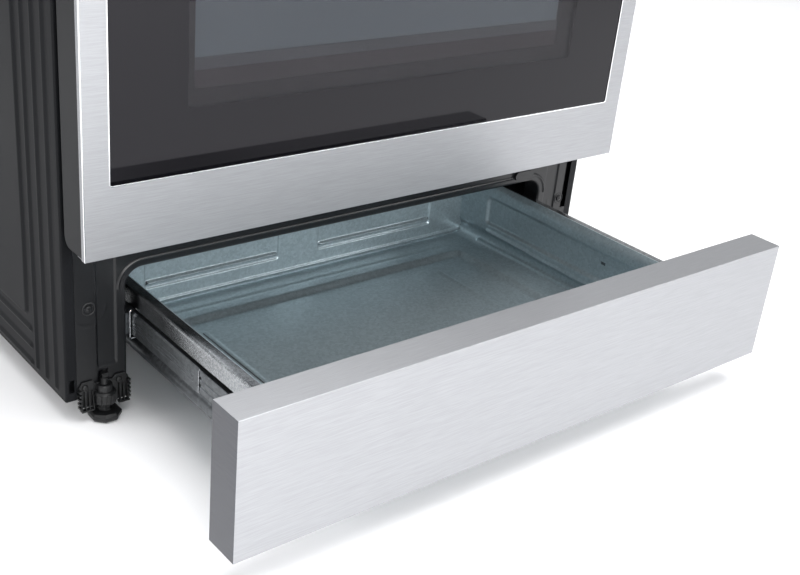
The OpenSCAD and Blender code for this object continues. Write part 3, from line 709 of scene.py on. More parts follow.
def leg_bracket(shell, sx, sy):
    """Moulded bracket: ribbed plate with two screw ears, gusset teeth and a fluted boss."""
    part = Shell()
    front = -FOOT_Y + 1
    outline = [(309, 17), (326, 17), (328, 21), (343, 21), (345, 17), (362, 17), (364, 20), (364, 42),
               (360, 48), (348, 48), (346, 44), (325, 44), (322, 48), (311, 48), (307, 43), (307, 20)]
    part.prism(outline, "y", front, front + 2)
    for x in (309, 313.5, 318, 349, 353.5, 358, 362.5):
        part.prism([(front - 5, 14.5), (front, 14.5), (front, 36), (front - 1.5, 36)], "x", x - 0.6, x + 0.6)
    for x0, x1 in ((307.5, 320.5), (349.5, 363.5)):
        part.block(x0, x1, front - 5.5, front, 14.0, 16.0)
    for k in range(5):
        part.block(306.4 - 0.6, 309.0, front - 4.2, front + 2, 17.5 + 5 * k, 20 + 5 * k)
        part.block(362.0, 365.2, front - 4.2, front + 2, 17.5 + 5 * k, 20 + 5 * k)
    place = Matrix.Translation((FOOT_X, -FOOT_Y, 0))
    part.lathe([(7.2, 19), (11.2, 19), (12.5, 21), (12.5, 32), (11.0, 34), (9.0, 34.5), (9.0, 40),
                (8.0, 42), (5.05, 42)], place, 40)
    for k in range(14):
        turn = TAU * k / 14
        x, y = FOOT_X + 12.4 * math.cos(turn), -FOOT_Y + 12.4 * math.sin(turn)
        part.block(x - 0.8, x + 0.8, y - 0.8, y + 0.8, 21, 31.5)
    for x in (318, 357):
        screw_head(part, x, front, 41, 3.6)
    shell.add([(sx * x, -sy * y, z) for x, y, z in part.points], part.faces)


brackets = Shell()
for side in (-1, 1):
    for end in (-1, 1):
        leg_bracket(brackets, side, end)
        corner_name = f"leg_{'front' if end < 0 else 'rear'}_{'left' if side < 0 else 'right'}"
        leg(corner_name, side, end)
piece("leg_brackets", brackets, LEG_BLACK, "range_body", ["leg_brackets"], bevel=0.3)

# ---- oven door ----

DX0, DX1, DOOR_Y, _, DZ0, DZ1 = span("door_frame")
DOOR_T = 45.6
DOOR_BACK = DOOR_Y + DOOR_T
HEM = 7.0
GLASS_X = DX1 - 27.1
GLASS_Z0, GLASS_Z1 = DZ0 + 73.3, DZ1 - 88.0
GLASS_FRONT, GLASS_REAR = DOOR_Y + 1.3, DOOR_Y + 5.2
WINDOW_X, WINDOW_Z0, WINDOW_Z1 = 252, 367, 610


def glass_outline(grow, radius):
    """Outline of the door's glass opening, grown outwards."""
    return rounded(-GLASS_X - grow, GLASS_X + grow, GLASS_Z0 - grow, GLASS_Z1 + grow, radius)


def door_skin():
    """Folded stainless skin, hemmed at its sides, with near-white beads along its edges as painted
    highlight, and a bright polished trim round the glass."""
    fold_y = DOOR_Y + 3.5
    skin = Shell().ring(rounded(DX0, DX1, DZ0, DZ1, 0.8), glass_outline(0, 3.0), "y", DOOR_Y, fold_y)
    for x0, x1 in ((DX0, DX0 + SHEET), (DX1 - SHEET, DX1)):
        skin.block(x0, x1, fold_y, DOOR_Y + HEM, DZ0, DZ1)
    skin.block(DX0 + SHEET, DX1 - SHEET, fold_y, DOOR_Y + 18, DZ0, DZ0 + SHEET)
    skin.block(DX0 + SHEET, DX1 - SHEET, fold_y, DOOR_Y + 30, DZ1 - SHEET, DZ1)
    piece("door_skin", skin, STEEL, "oven_door", ["door_frame"], bevel=1.0, segments=3)
    trim = Shell().ring(glass_outline(0.3, 3.2), glass_outline(-1.1, 2.2), "y", DOOR_Y - 0.15, DOOR_Y + 1.4)
    piece("door_glass_trim", trim, POLISHED_AND_HIGHLIGHT, "oven_door", bevel=0.4, segments=3)
    # Near-white beads down both door edges: painted highlight on the folded edges.
    beads = Shell()
    for x0, x1 in ((DX0 - 0.1, DX0 + 1.3), (DX1 - 1.3, DX1 + 0.1)):
        beads.prism(rounded(x0, x1, DOOR_Y - 0.2, DOOR_Y + 1.4, 0.65), "z", DZ0 + 0.3, DZ1 - 0.3)
    piece("door_edge_painted_highlight", beads, POLISHED_AND_HIGHLIGHT, "oven_door", bevel=0.2)


def door_glass():
    """Outer glass with its printed border, and behind it a black sheet of painted shade with the
    window's aperture, and the two sills."""
    view = rounded(-266, 266, 353, 624, 4)
    border = Shell().ring(glass_outline(5, 6), view, "y", GLASS_FRONT, GLASS_REAR)
    piece("door_glass_border", border, PRINTED_GLASS, "oven_door", ["door_glass"])
    clear = Shell().prism(view, "y", GLASS_FRONT, GLASS_REAR)
    piece("door_glass_clear", clear, BLACK_GLASS, "oven_door")
    sills = (("low", SILL_WARM, 366, 385, 15.0), ("high", SILL_COOL, 384, 397, 15.8))
    for name, paint, z0, z1, near in sills:
        outline = rounded(-WINDOW_X, WINDOW_X, z0, z1, 0.8, 2)
        sill = Shell().prism(outline, "y", DOOR_Y + near, DOOR_Y + near + 2)
        piece("door_window_sill_" + name, sill, paint, "oven_door", bevel=0.3)
    aperture = rounded(-WINDOW_X - 0.6, WINDOW_X + 0.6, WINDOW_Z0, WINDOW_Z1, 6)
    # Dead black sheet inside the door round the window: painted shade.
    shade_sheet = Shell().ring(rounded(4 - GLASS_X, GLASS_X - 4, GLASS_Z0 + 2, GLASS_Z1 - 2, 4), aperture,
                          "y", DOOR_Y + 13, DOOR_Y + 14)
    piece("door_painted_shade_sheet", shade_sheet, SHADOW_BLACK, "oven_door", bevel=0.2)


def door_caps():
    """Charcoal end caps, rounded at their lower rear corner."""
    caps = Shell()
    profile = [(DOOR_Y + HEM + 0.3, DZ0 + 1.4)]
    profile += [(DOOR_BACK - 12 + 12 * math.sin(TAU * k / 32), DZ0 + 13.4 - 12 * math.cos(TAU * k / 32))
                for k in range(9)]
    profile += [(DOOR_BACK, DZ1 - 1.4), (DOOR_Y + HEM + 0.3, DZ1 - 1.4)]
    for x0, x1 in ((DX0 + 0.5, DX0 + 5.5), (DX1 - 5.5, DX1 - 0.5)):
        caps.prism(profile, "x", x0, x1)
    piece("door_end_caps", caps, SIDE_CAP, "oven_door", ["door_side_caps"],
          bevel=0.9, segments=3)


def door_window():
    """Window of two panes in the door's inner half."""
    outline = rounded(-WINDOW_X, WINDOW_X, WINDOW_Z0, WINDOW_Z1, 4)
    # The outer pane's pale bluish colour is painted light for the window's lighter look.
    outer = Shell().prism(outline, "y", DOOR_Y + 18, DOOR_Y + 22)
    piece("window_outer_pane", outer, WINDOW_PAINTED_LIGHT, "oven_door", ["door_window"], bevel=0.4)
    inner = Shell().prism(outline, "y", DOOR_BACK - 5.6, DOOR_BACK - 1.7)
    piece("window_inner_pane", inner, INNER_PANE, "oven_door", bevel=0.4)


def door_handle():
    """Brushed tube with domed ends on two flared stand-offs."""
    _, x1, y0, _, z0, z1 = span("door_handle")
    radius = (z1 - z0) / 2
    cy, cz = y0 + radius, (z0 + z1) / 2
    dome = [(radius * math.cos(TAU * k / 32), radius * 0.5 * math.sin(TAU * k / 32)) for k in range(8)]
    half = x1 - radius * 0.5
    profile = [(r, -half - h) for r, h in reversed(dome)] + [(r, half + h) for r, h in dome]
    bar = Shell().lathe(profile, look_along((0, cy, cz), (1, 0, 0)), 40)
    for side in (-1, 1):
        low, high = sorted((side * 316, side * 338))
        for k in range(5):
            t = k / 4
            flare = 3.0 * (1 - t) ** 2
            near = DOOR_Y - (DOOR_Y - cy) * t
            outline = rounded(low - flare, high + flare, cz - 9 - flare, cz + 9 + flare, 4)
            bar.prism(outline, "y", near - 10.2, near)
    piece("door_handle_bar", bar, STEEL, "oven_door", ["door_handle"], bevel=0.4, angle=40)


door_skin()
door_glass()
door_caps()
door_handle()
dress("door_inner_panel", ENAMEL, 0.4)
door_window()
dress("door_hinges", PLATED, 0.4)

# ---- storage drawer ----

FX0, FX1, FRONT_Y, FRONT_BACK, FZ0, FZ1 = span("drawer_front")
_, _, BOX_Y0, BOX_Y1, _, RIM_Z = span("drawer_box")
WALL_X = 287.9
RIM_X = 299.2
LEDGE_Z = 48.0
WELL_Z = 42.2
LEDGE_W = 53.0
FOOT_BEND = 15.0
REAR_Y = BOX_Y1 - 11.0


def drawer_front():
    """Stainless front folded to a box 40 mm deep, its back closed by a galvanised liner."""
    front = Shell().prism(rounded(FX0, FX1, FZ0, FZ1, 0.8), "y", FRONT_Y, FRONT_BACK)
    # The front's end faces get the darker copy of the stainless: painted shade.
    piece("drawer_front_skin", front, STEEL, "drawer", ["drawer_front"], bevel=1.7, segments=4,
          other=(STEEL_END_SHADE, lambda centre, normal: abs(normal.x) > 0.7))
    liner = Shell()
    liner.prism(rounded(FX0 + 16, FX1 - 16, FZ0 + 13, FZ1 - 13, 6), "y", FRONT_BACK - 0.4, FRONT_BACK + 0.4)
    for side in (-1, 1):
        liner.prism(rounded(*sorted((side * 304, side * 350)), FZ0 + 24, FZ1 - 30, 8), "y",
                    FRONT_BACK, FRONT_BACK + 1.6)
    piece("drawer_front_liner", liner, GALVANISED, "drawer", bevel=0.3)


def back_wall(shell):
    """Rear wall with two recessed panels over long rounded ribs."""
    inner_y = REAR_Y - SHEET
    half = WALL_X - SHEET

    def place(x, z):
        return (x, inner_y, z), (0.0, -1.0, 0.0)

    def rise(x, z):
        high = 2.2 * rib(x, z, -285, 53, 285, 53, 3.2)
        for low_x, high_x in ((-222, -30), (30, 225)):
            high -= 2.2 * field(x, z, low_x, high_x, 71, 170, 5, 2.5)
            high += 3.6 * rib(x, z, low_x + 5, 79.5, high_x - 5, 79.5, 3.4)
        return high

    xs = lines((-half, -232, 18), (-232, -210, 1.6), (-210, -50, 12), (-50, 50, 1.6), (50, 212, 12),
               (212, 236, 1.6), (236, half, 12))
    zs = lines((LEDGE_Z - 1, 58, 0.9), (58, 66, 4), (66, 92, 0.9), (92, RIM_Z, 8))
    shell.pressed(xs, zs, place, rise, SHEET)


def side_wall(shell, sign):
    """Side wall with one long pressed field, two beads near its foot and a rounded foot."""
    inner = WALL_X - SHEET
    straight = RIM_Z - LEDGE_Z - FOOT_BEND
    quarter = math.pi / 2 * FOOT_BEND

    def place(y, s):
        """s runs down the wall from the rim and then round its foot."""
        if s < straight:
            return (sign * inner, y, RIM_Z - s), (-sign, 0.0, 0.0)
        turn = min(1.0, (s - straight) / quarter) * math.pi / 2
        x = inner - FOOT_BEND + FOOT_BEND * math.cos(turn)
        z = LEDGE_Z + FOOT_BEND - FOOT_BEND * math.sin(turn)
        return (sign * x, y, z), (-sign * math.cos(turn), 0.0, math.sin(turn))

    def rise(y, s):
        z = RIM_Z - s
        border = 1 - field(y, z, BOX_Y0 - 60, -213, 80, 124, 9, 6)
        high = 3.8 * border * ease((RIM_Z - z) / 9) * ease((z - 62) / 12)
        jog = 2.5 * ease((-300 - y) / 14)
        high += 2.6 * rib(y, z, BOX_Y0 + 4, 72 - jog, -222, 72 - jog, 4.5)
        return high + 2.0 * rib(y, z, BOX_Y0 + 4, 52, -206, 52, 3.5)

    slot = (-434, -426, RIM_Z - 109, RIM_Z - 105)
    ys = lines((BOX_Y0, -240, 9), (-318, -296, 2), (-240, -200, 1.4), (-200, REAR_Y - SHEET, 8),
               (-478, -468, 3), (-434, -426, 4))
    ss = lines((0, 11, 5), (11, straight + quarter, 1.4), (RIM_Z - 109, RIM_Z - 105, 4))
    shell.pressed(ys, ss, place, rise, SHEET, holes=[slot])


def pan(shell):
    """Floor: a ledge round the edge, a short slope, and the sunk middle with two beads, behind
    them a groove."""
    inner = WALL_X - SHEET - FOOT_BEND
    y0, y1 = BOX_Y0 + SHEET, REAR_Y - SHEET
    near, far = y0 + LEDGE_W, y1 - LEDGE_W
    well_x = WALL_X - SHEET - LEDGE_W + 5

    def place(x, y):
        return (x, y, LEDGE_Z), (0.0, 0.0, 1.0)

    def rise(x, y):
        sunk = field(x, y, -well_x - 6, well_x + 6, near - 6, far + 6, 14, 12)
        beads = sum(rib(x, y, at, near + 40, at, far - 28, 5.0) for at in (-186, 176))
        groove = rib(x, y, -well_x + 4, far + 22, well_x - 4, far + 22, 5)
        return -(LEDGE_Z - WELL_Z) * sunk + 1.2 * beads - 0.8 * groove

    xs = lines((-inner, -250, 4), (-250, -222, 1.6), (-222, -194, 7), (-194, -178, 1.5), (-178, 168, 14),
               (168, 184, 1.5), (184, 222, 7), (222, 250, 1.6), (250, inner, 4))
    ys = lines((y0, near - 12, 8), (near - 12, near + 12, 1.6), (near + 12, far - 45, 12),
               (far - 45, far - 12, 1.6), (far - 12, y1, 1.6))
    shell.pressed(xs, ys, place, rise, SHEET)


def drawer_box():
    """Pressed galvanised box, its side rims folded out and down over the slides."""
    box = Shell()
    back_wall(box)
    for side in (-1, 1):
        side_wall(box, side)
    pan(box)
    box.block(SHEET - WALL_X, WALL_X - SHEET, BOX_Y0, BOX_Y0 + SHEET, LEDGE_Z - SHEET, RIM_Z)
    box.block(-RIM_X, RIM_X, REAR_Y - 0.1, BOX_Y1, RIM_Z - SHEET, RIM_Z)
    # The pan's outward faces take the darker slide zinc: painted shade on the same galvanised sheet.
    piece("drawer_pan", box, GALVANISED, "drawer", ["drawer_box"], angle=42,
          other=(ZINC_AND_SHADE, lambda centre, normal: centre.x * normal.x > 60))
    rims = Shell()
    bend = [(WALL_X - SHEET, RIM_Z - 1.5)]
    for k in range(5):
        turn = TAU * k / 16
        bend.append((WALL_X + 0.3 - 1.5 * math.cos(turn), RIM_Z - 1.5 + 1.5 * math.sin(turn)))
    for k in range(7):
        turn = TAU * k / 24
        bend.append((RIM_X - 4 + 4 * math.sin(turn), RIM_Z - 4 + 4 * math.cos(turn)))
    bend += [(RIM_X, 123.0), (298.2, 122.4), (298.0, RIM_Z - 5), (295.0, RIM_Z - 1.3),
             (WALL_X + 0.5, RIM_Z - 1.3), (WALL_X, RIM_Z - 3)]
    for side in (-1, 1):
        rims.prism([(side * x, z) for x, z in bend], "y", BOX_Y0, REAR_Y)
    piece("drawer_rims", rims, BRIGHT_ZINC, "drawer", angle=40)


def channel(x_web, x_tip, z0, z1, y0, y1):
    """Rolled slide member, open towards its tip, with three fine beads along its web."""
    lip = 2.6
    way = 1 if x_tip > x_web else -1
    outer = [(x_tip, z0 + lip), (x_tip, z0 + 1), (x_tip - way, z0), (x_web + way * 2, z0), (x_web, z0 + 2),
             (x_web, z1 - 2), (x_web + way * 2, z1), (x_tip - way, z1), (x_tip, z1 - 1), (x_tip, z1 - lip)]
    inward_x = (-way, -way, 0, 0, way, way, 0, 0, -way, -way)
    inward_z = (0, 1, 1, 1, 1, -1, -1, -1, -1, 0)
    inner = [(x + dx * SHEET, z + dz * SHEET) for (x, z), dx, dz in zip(outer, inward_x, inward_z)]
    part = Shell().prism(outer + inner[::-1], "y", y0, y1)
    for middle in (98.3, 102.5, 106.7):
        bead = [(x_web - 0.1, middle - 1.1), (x_web + 0.5, middle - 0.5), (x_web + 0.5, middle + 0.5),
                (x_web - 0.1, middle + 1.1)]
        part.prism(bead, "y", y0 + 10, y1 - 6)
    return part


def slide_bar(y0, y1):
    """Inner member: a bar with a narrow neck that runs between the lips of the middle one."""
    (head_low, head_high), (neck_low, neck_high) = (89.5, 115.5), (91.2, 113.8)
    neck_x, shoulder_x, groove_x, face_x = WALL_X, 293.6, 298.4, RIM_X
    outline = [(neck_x, neck_low), (shoulder_x, neck_low), (shoulder_x, head_low), (groove_x, head_low),
               (face_x, head_low + 0.8)]
    for groove_z in (98.3, 106.7):
        outline += [(face_x, groove_z - 2.0), (groove_x, groove_z - 1.3), (groove_x, groove_z + 1.3),
                    (face_x, groove_z + 2.0)]
    outline += [(face_x, head_high - 0.8), (groove_x, head_high), (shoulder_x, head_high),
                (shoulder_x, neck_high), (neck_x, neck_high)]
    return Shell().prism(outline, "y", y0, y1)


def slide(name, part, body):
    """One slide member on both sides, its cut end bright where it shows at the front frame."""
    piece(name + "_rolled", part.mirrored(), ZINC_AND_SHADE, body, [name], bevel=0.25, angle=30,
          other=(POLISHED_AND_HIGHLIGHT, lambda centre, normal: normal.y < -0.9 and centre.y < FRAME_Y + 1))


def slides():
    """Three nested telescopic members each side; the fixed one on its front and rear brackets."""
    fixed = channel(303.4, 293.5, 85.0, 120.0, *span("slide_outer")[2:4])
    fixed.block(302.2, OPEN_X, FRAME_Y + 4, FRAME_Y + 26, 90.0, 115.0)
    fixed.block(302.2, 376.8, FRAME_Y + 380, FRAME_Y + 382, 85.0, 120.0)
    slide("slide_outer", fixed, "range_body")
    slide("slide_middle", channel(300.7, 292.0, 88.0, 117.0, *span("slide_middle")[2:4]), "slide_middle")
    slide("slide_inner", slide_bar(*span("slide_inner")[2:4]), "drawer")


drawer_front()
drawer_box()
slides()

# ---- oven ----

for node, material, bevel, segments in (
        ("oven_cavity", ENAMEL, 0.5, 2), ("oven_floor", ENAMEL, 0.4, 2), ("oven_insulation", WOOL, 4.0, 3),
        ("bake_burner", BURNER_STEEL, 0.0, 2), ("broil_burner", BURNER_STEEL, 0.8, 2),
        ("rack_lower", CHROME_WIRE, 0.0, 2), ("rack_upper", CHROME_WIRE, 0.0, 2),
        ("door_gasket", GASKET, 2.4, 3), ("hinge_receivers", PLATED, 0.8, 2)):
    dress(node, material, bevel, segments)

CAVITY_BACK = FRAME_Y + 480


def oven_lamp():
    """Frosted dome on a plated collar, high on the rear wall."""
    place = look_along((-220, CAVITY_BACK, 690), (0, -1, 0))
    dome = [(22 * math.cos(TAU * k / 32), 10 + 18 * math.sin(TAU * k / 32)) for k in range(8)]
    glass = Shell().lathe([(23, 4), (23, 8)] + dome + [(0.5, 28)], place, 48)
    piece("oven_lamp_dome", glass, LAMP_GLASS, "range_body", ["oven_lamp"], angle=50)
    collar = Shell().lathe([(20, 0.2), (30, 0.2), (30, 4.5), (28.5, 6), (24, 6), (23.2, 5)], place, 48)
    piece("oven_lamp_collar", collar, PLATED, "range_body", bevel=0.3)


def convection_cover():
    """Pressing on the rear wall, its perforations drawn as black dots of painted shade."""
    place = look_along((0, CAVITY_BACK, 480), (0, -1, 0))
    boss = Shell().lathe([(96, 0.2), (96, 2), (90, 10), (84, 12), (0.5, 12.6)], place, 64)
    piece("oven_rear_boss", boss, ENAMEL, "range_body", bevel=0.8, angle=30)
    # Black dots in place of holes: painted shade.
    dots = Shell()
    for ring_radius, count in ((20, 8), (38, 16), (56, 24), (74, 32)):
        for k in range(count):
            turn = TAU * k / count
            spot = place @ Vector((ring_radius * math.cos(turn), ring_radius * math.sin(turn), 12.2))
            dots.lathe([(3.4, -0.5), (3.4, 0.5), (2.4, 0.75), (2.4, 0.2), (0.3, 0.2)],
                       look_along(spot, (0, -1, 0)), 12)
    piece("oven_rear_painted_shade_dots", dots, SHADOW_BLACK, "range_body")


oven_lamp()
convection_cover()

# ---- cooktop and burners ----

_, _, TOP_Y0, TOP_Y1, TOP_Z0, TOP_Z1 = span("cooktop")
BASIN_X = 357.0
BASIN_Y0, BASIN_Y1 = TOP_Y0 + 32, TOP_Y1 - 13
BASIN_DEPTH = 18.0
BASIN_Z = TOP_Z1 - BASIN_DEPTH
CENTRE_Y = -6.5
PORT_DEPTH = 3.4
HEAD_LOW, HEAD_HIGH, CAP_LOW = 8, 16, 17
BURNERS = (("front_left", -235, -136.5, 48), ("front_right", 235, -136.5, 56),
           ("rear_left", -235, 123.5, 42), ("rear_right", 235, 123.5, 48))


def oblong(radius, half, z):
    """Oblong outline round the centre burner, as points at one height."""
    steps = 16
    points = []
    for end in (1, -1):
        for k in range(steps + 1):
            turn = TAU * k / (2 * steps) + (0 if end > 0 else TAU / 2)
            points.append((radius * math.cos(turn), CENTRE_Y + end * half + radius * math.sin(turn), z))
    return points


def cooktop():
    """One deep-drawn stainless top: rolled nose, sloping basin, a raised spill ring round each
    burner."""
    nose_radius = 8

    def place(x, y):
        return (x, y, TOP_Z1), (0.0, 0.0, 1.0)

    def rise(x, y):
        high = -BASIN_DEPTH * field(x, y, -BASIN_X - 4, BASIN_X + 4, BASIN_Y0 - 4, BASIN_Y1 + 4, 26, 11)
        for _, bx, by, radius in BURNERS:
            away = abs(math.hypot(x - bx, y - by) - radius - 22)
            high += 1.8 * ease(1 - away / 7)
        away = abs(math.hypot(x, max(0.0, abs(y - CENTRE_Y) - 60)) - 50)
        return high + 1.8 * ease(1 - away / 7)

    side = SIDE_X - SHEET
    xs = lines((-side, -362, 5), (-362, -344, 1.6), (-344, 344, 3.2), (344, 362, 1.6), (362, side, 5))
    ys = lines((TOP_Y0 + nose_radius, BASIN_Y0 - 6, 6), (BASIN_Y0 - 6, BASIN_Y0 + 10, 1.6),
               (BASIN_Y0 + 10, BASIN_Y1 - 10, 3.2), (BASIN_Y1 - 10, BASIN_Y1 + 6, 1.6),
               (BASIN_Y1 + 6, TOP_Y1, 4))
    shell = Shell().pressed(xs, ys, place, rise, SHEET)

    def quarter(radius):
        """Side view of the rolled nose, from the top round to its front."""
        return [(TOP_Y0 + nose_radius - radius * math.sin(TAU * k / 32),
                 TOP_Z1 - nose_radius + radius * math.cos(TAU * k / 32)) for k in range(9)]

    nose = quarter(nose_radius)
    apron = nose + [(TOP_Y0, TOP_Z0), (TOP_Y0 + SHEET, TOP_Z0)] + quarter(nose_radius - SHEET)[::-1]
    shell.prism(apron, "x", -side, side)
    cheek = nose + [(TOP_Y0, TOP_Z0), (TOP_Y1, TOP_Z0), (TOP_Y1, TOP_Z1)]
    for x0, x1 in ((-SIDE_X, -side), (side, SIDE_X)):
        shell.prism(cheek, "x", x0, x1)
    shell.block(-side, side, TOP_Y1 - SHEET, TOP_Y1, TOP_Z0, TOP_Z1 - SHEET)
    piece("cooktop_pressing", shell, STEEL, "range_body", ["cooktop"], angle=48)


def notched(radius, deep, count, half=0.0):
    """Outline of a burner head with flame ports cut into its edge."""
    points = []
    for k in range(count * 4):
        turn = TAU * k / (count * 4)
        r = radius if k % 4 in (0, 1) else radius - deep
        shift = half if math.sin(turn) >= 0 else -half
        points.append((r * math.cos(turn), r * math.sin(turn) + shift))
    return points


def centre_loops(*steps):
    """Loops of the centre burner from steps of (radius, half its straight part, height)."""
    return [oblong(radius, half, BASIN_Z + high) for radius, half, high in steps]


def round_burner(bases, name, bx, by, radius):
    """Stepped base and ported head of one round burner, with its enamelled cap."""
    place = Matrix.Translation((bx, by, BASIN_Z))
    bases.lathe([(20, -40), (20, 0), (radius + 6, 0), (radius + 6, 2.6), (radius + 3.5, 6),
                 (radius - 3, 6.6), (radius - 3.4, 9)], place, 64)
    outline = [(bx + u, by + v) for u, v in notched(radius - 1.5, PORT_DEPTH, int(radius * 0.75))]
    bases.prism(outline, "z", BASIN_Z + HEAD_LOW, BASIN_Z + HEAD_HIGH)
    bases.lathe([(radius - 6, HEAD_LOW), (radius - 1.6, 15.8), (radius - 1.6, CAP_LOW),
                 (radius - 5, CAP_LOW)], place, 64)
    cap = Shell().lathe([(radius - 8, CAP_LOW), (radius - 1.2, CAP_LOW), (radius, 18.2), (radius, 20.6),
                         (radius - 1.6, 22), (radius - 5.4, 22.4), (radius - 6.6, 23.6), (radius * 0.5, 24),
                         (0.5, 24.1)], place, 72)
    node = "burner_cap_" + name
    piece(node + "_turned", cap, CAP_ENAMEL, "range_body", [node], angle=28)


def centre_burner(bases):
    """The oblong burner in the middle, built up in the same steps."""
    half = 60
    bases.loft(centre_loops((36, half, 0), (36, half, 2.6), (33, half, 6), (27, half, 6.6), (26.6, half, 9)))
    outline = [(u, CENTRE_Y + v) for u, v in notched(28.5, PORT_DEPTH, 30, half)]
    bases.prism(outline, "z", BASIN_Z + HEAD_LOW, BASIN_Z + HEAD_HIGH)
    bases.loft(centre_loops((24, half, 9), (28.4, half, 15.8), (28.4, half, CAP_LOW)))
    for end in (-half, half):
        bases.lathe([(15, -40), (15, 1)], Matrix.Translation((0, CENTRE_Y + end, BASIN_Z)), 32)
    piece("burner_bases_cast", bases, CAST_ALUMINIUM, "range_body", ["burner_bases"],
          angle=30)
    cap = Shell().loft(centre_loops((24, half, CAP_LOW), (28.8, half, CAP_LOW), (30, half, 18.2),
                                    (30, half, 20.6), (28.4, half, 22), (24.6, half, 22.4),
                                    (23.4, half, 23.6), (12, 54, 24), (2, 50, 24.1)))
    piece("burner_cap_centre_turned", cap, CAP_ENAMEL, "range_body", ["burner_cap_centre"],
          angle=28)


def spark_electrodes():
    """A glazed insulator with a steel tip beside each burner."""
    sparks, tips = Shell(), Shell()
    spots = [(bx, by + radius + 10) for _, bx, by, radius in BURNERS] + [(40, CENTRE_Y)]
    for x, y in spots:
        place = Matrix.Translation((x, y, BASIN_Z))
        sparks.lathe([(3.4, 0), (3.4, 3), (2.5, 4), (2.5, 12.4), (1.9, 13.2), (0.8, 13.2)], place, 24)
        tips.lathe([(0.8, 12.5), (0.8, 15.6), (0.3, 16)], place, 12)
    piece("spark_electrodes_glazed", sparks, CERAMIC, "range_body", ["spark_electrodes"],
          angle=40)
    piece("spark_tips", tips, PLATED, "range_body")


cooktop()
head_castings = Shell()
for burner in BURNERS:
    round_burner(head_castings, *burner)
centre_burner(head_castings)
spark_electrodes()
for part in ("left", "centre", "right"):
    dress("grate_" + part, CAST_IRON, 2.2, 3)

# ---- gas line and valves ----

dress("manifold", PIPE_STEEL)
dress("gas_valves", BRASS, 1.0)
for number in range(1, 6):
    dress(f"valve_stem_{number}", PLATED, 0.3)


def regulator():
    """Die-cast regulator: body, domed spring cap with its plug, hexagonal inlet, six screws."""
    x, y, z = -300.0, 263.5, 140.0
    shell = Shell()
    shell.prism(rounded(x - 22, x + 22, z - 22, z + 26, 6), "y", y - 20, y + 20)
    side = look_along((x - 22, y, z), (-1, 0, 0))
    shell.lathe([(18, -1), (18, 5), (16.5, 7), (11, 8.5), (11, 11), (9.5, 12), (0.5, 12)], side, 48)
    for k in range(6):
        turn = TAU * (k + 0.5) / 6
        spot = side @ Vector((14.6 * math.cos(turn), 14.6 * math.sin(turn), 6.5))
        shell.lathe([(2.2, 0), (2.2, 1.8), (1.4, 2.2), (1.4, 1.2), (0.4, 1.2)],
                    look_along(spot, (-1, 0, 0)), 12)
    inlet = look_along((x, y + 19, z), (0, 1, 0))
    hexagon = [(15, 0), (15, 12.5), (13.6, 15), (9.6, 15), (9.2, 14), (9.2, 2), (0.5, 2)]
    shell.lathe(hexagon, inlet, 6)
    for k in range(6):
        shell.lathe([(9.3, 3 + 1.8 * k), (9.3, 4.6 + 1.8 * k), (8.6, 3.8 + 1.8 * k)], inlet, 32)
    piece("regulator_cast", shell, CAST_ALUMINIUM, "range_body", ["regulator"], bevel=0.8)


def cord_gland():
    """Nylon strain relief with a ribbed collar."""
    place = look_along((300, BACK_Y, 150), (0, 1, 0))
    profile = [(5.5, -8), (13, -8), (14, -7), (14, -0.2), (10.9, 0), (10.9, 1.2), (14, 1.4), (14, 3),
               (12.6, 3.6), (12.6, 5), (14, 5.6), (14, 7), (12.4, 9), (7.4, 9), (5.5, 8.2)]
    shell = Shell().lathe(profile + [(5.5, -8)], place, 40)
    piece("cord_gland_ribbed", shell, PLASTIC, "range_body", ["cord_gland"], angle=30)


regulator()
cord_gland()

# ---- control panel and knobs ----

TILT = math.radians(15)
FASCIA_Y, FASCIA_Z = -330.5, 757.0
KNOB_X = (-285.0, -180.0, 0.0, 180.0, 285.0)
KNOB_Y, KNOB_Z = -312.8154, 823.0
COVER_SHEET = 1.5
OUTWARD = Vector((0, -math.cos(TILT), math.sin(TILT)))


def at_knob(x):
    """Placing whose Z axis comes out of the control panel and whose Y axis runs up its face."""
    up = Vector((0, math.sin(TILT), math.cos(TILT)))
    turn = Matrix((Vector((1, 0, 0)), up, OUTWARD)).transposed()
    return Matrix.Translation((x, KNOB_Y, KNOB_Z)) @ turn.to_4x4()


def fold(corners):
    """Side view of a folded sheet from its corners (y, z, bend radius; 0 for a point on a flat):
    points with their outward normals, the outside being on the left of the way along."""
    steps = 4
    path = []
    last = len(corners) - 1
    for k, (y, z, radius) in enumerate(corners):
        here = Vector((y, z))
        ways = []
        for i, j in ((max(k - 1, 0), max(k, 1)), (min(k, last - 1), min(k + 1, last))):
            way = Vector(corners[j][:2]) - Vector(corners[i][:2])
            ways.append(way.normalized())
        before, after = ways
        out0, out1 = Vector((-before.y, before.x)), Vector((-after.y, after.x))
        if not radius:
            path.append((here, out1))
            continue
        angle = before.angle(after)
        start = here - before * radius * math.tan(angle / 2)
        centre = start - out0 * radius
        for i in range(steps + 1):
            t = i / steps
            out = (out0 * math.sin((1 - t) * angle) + out1 * math.sin(t * angle)).normalized()
            path.append((centre + out * radius, out))
    return path


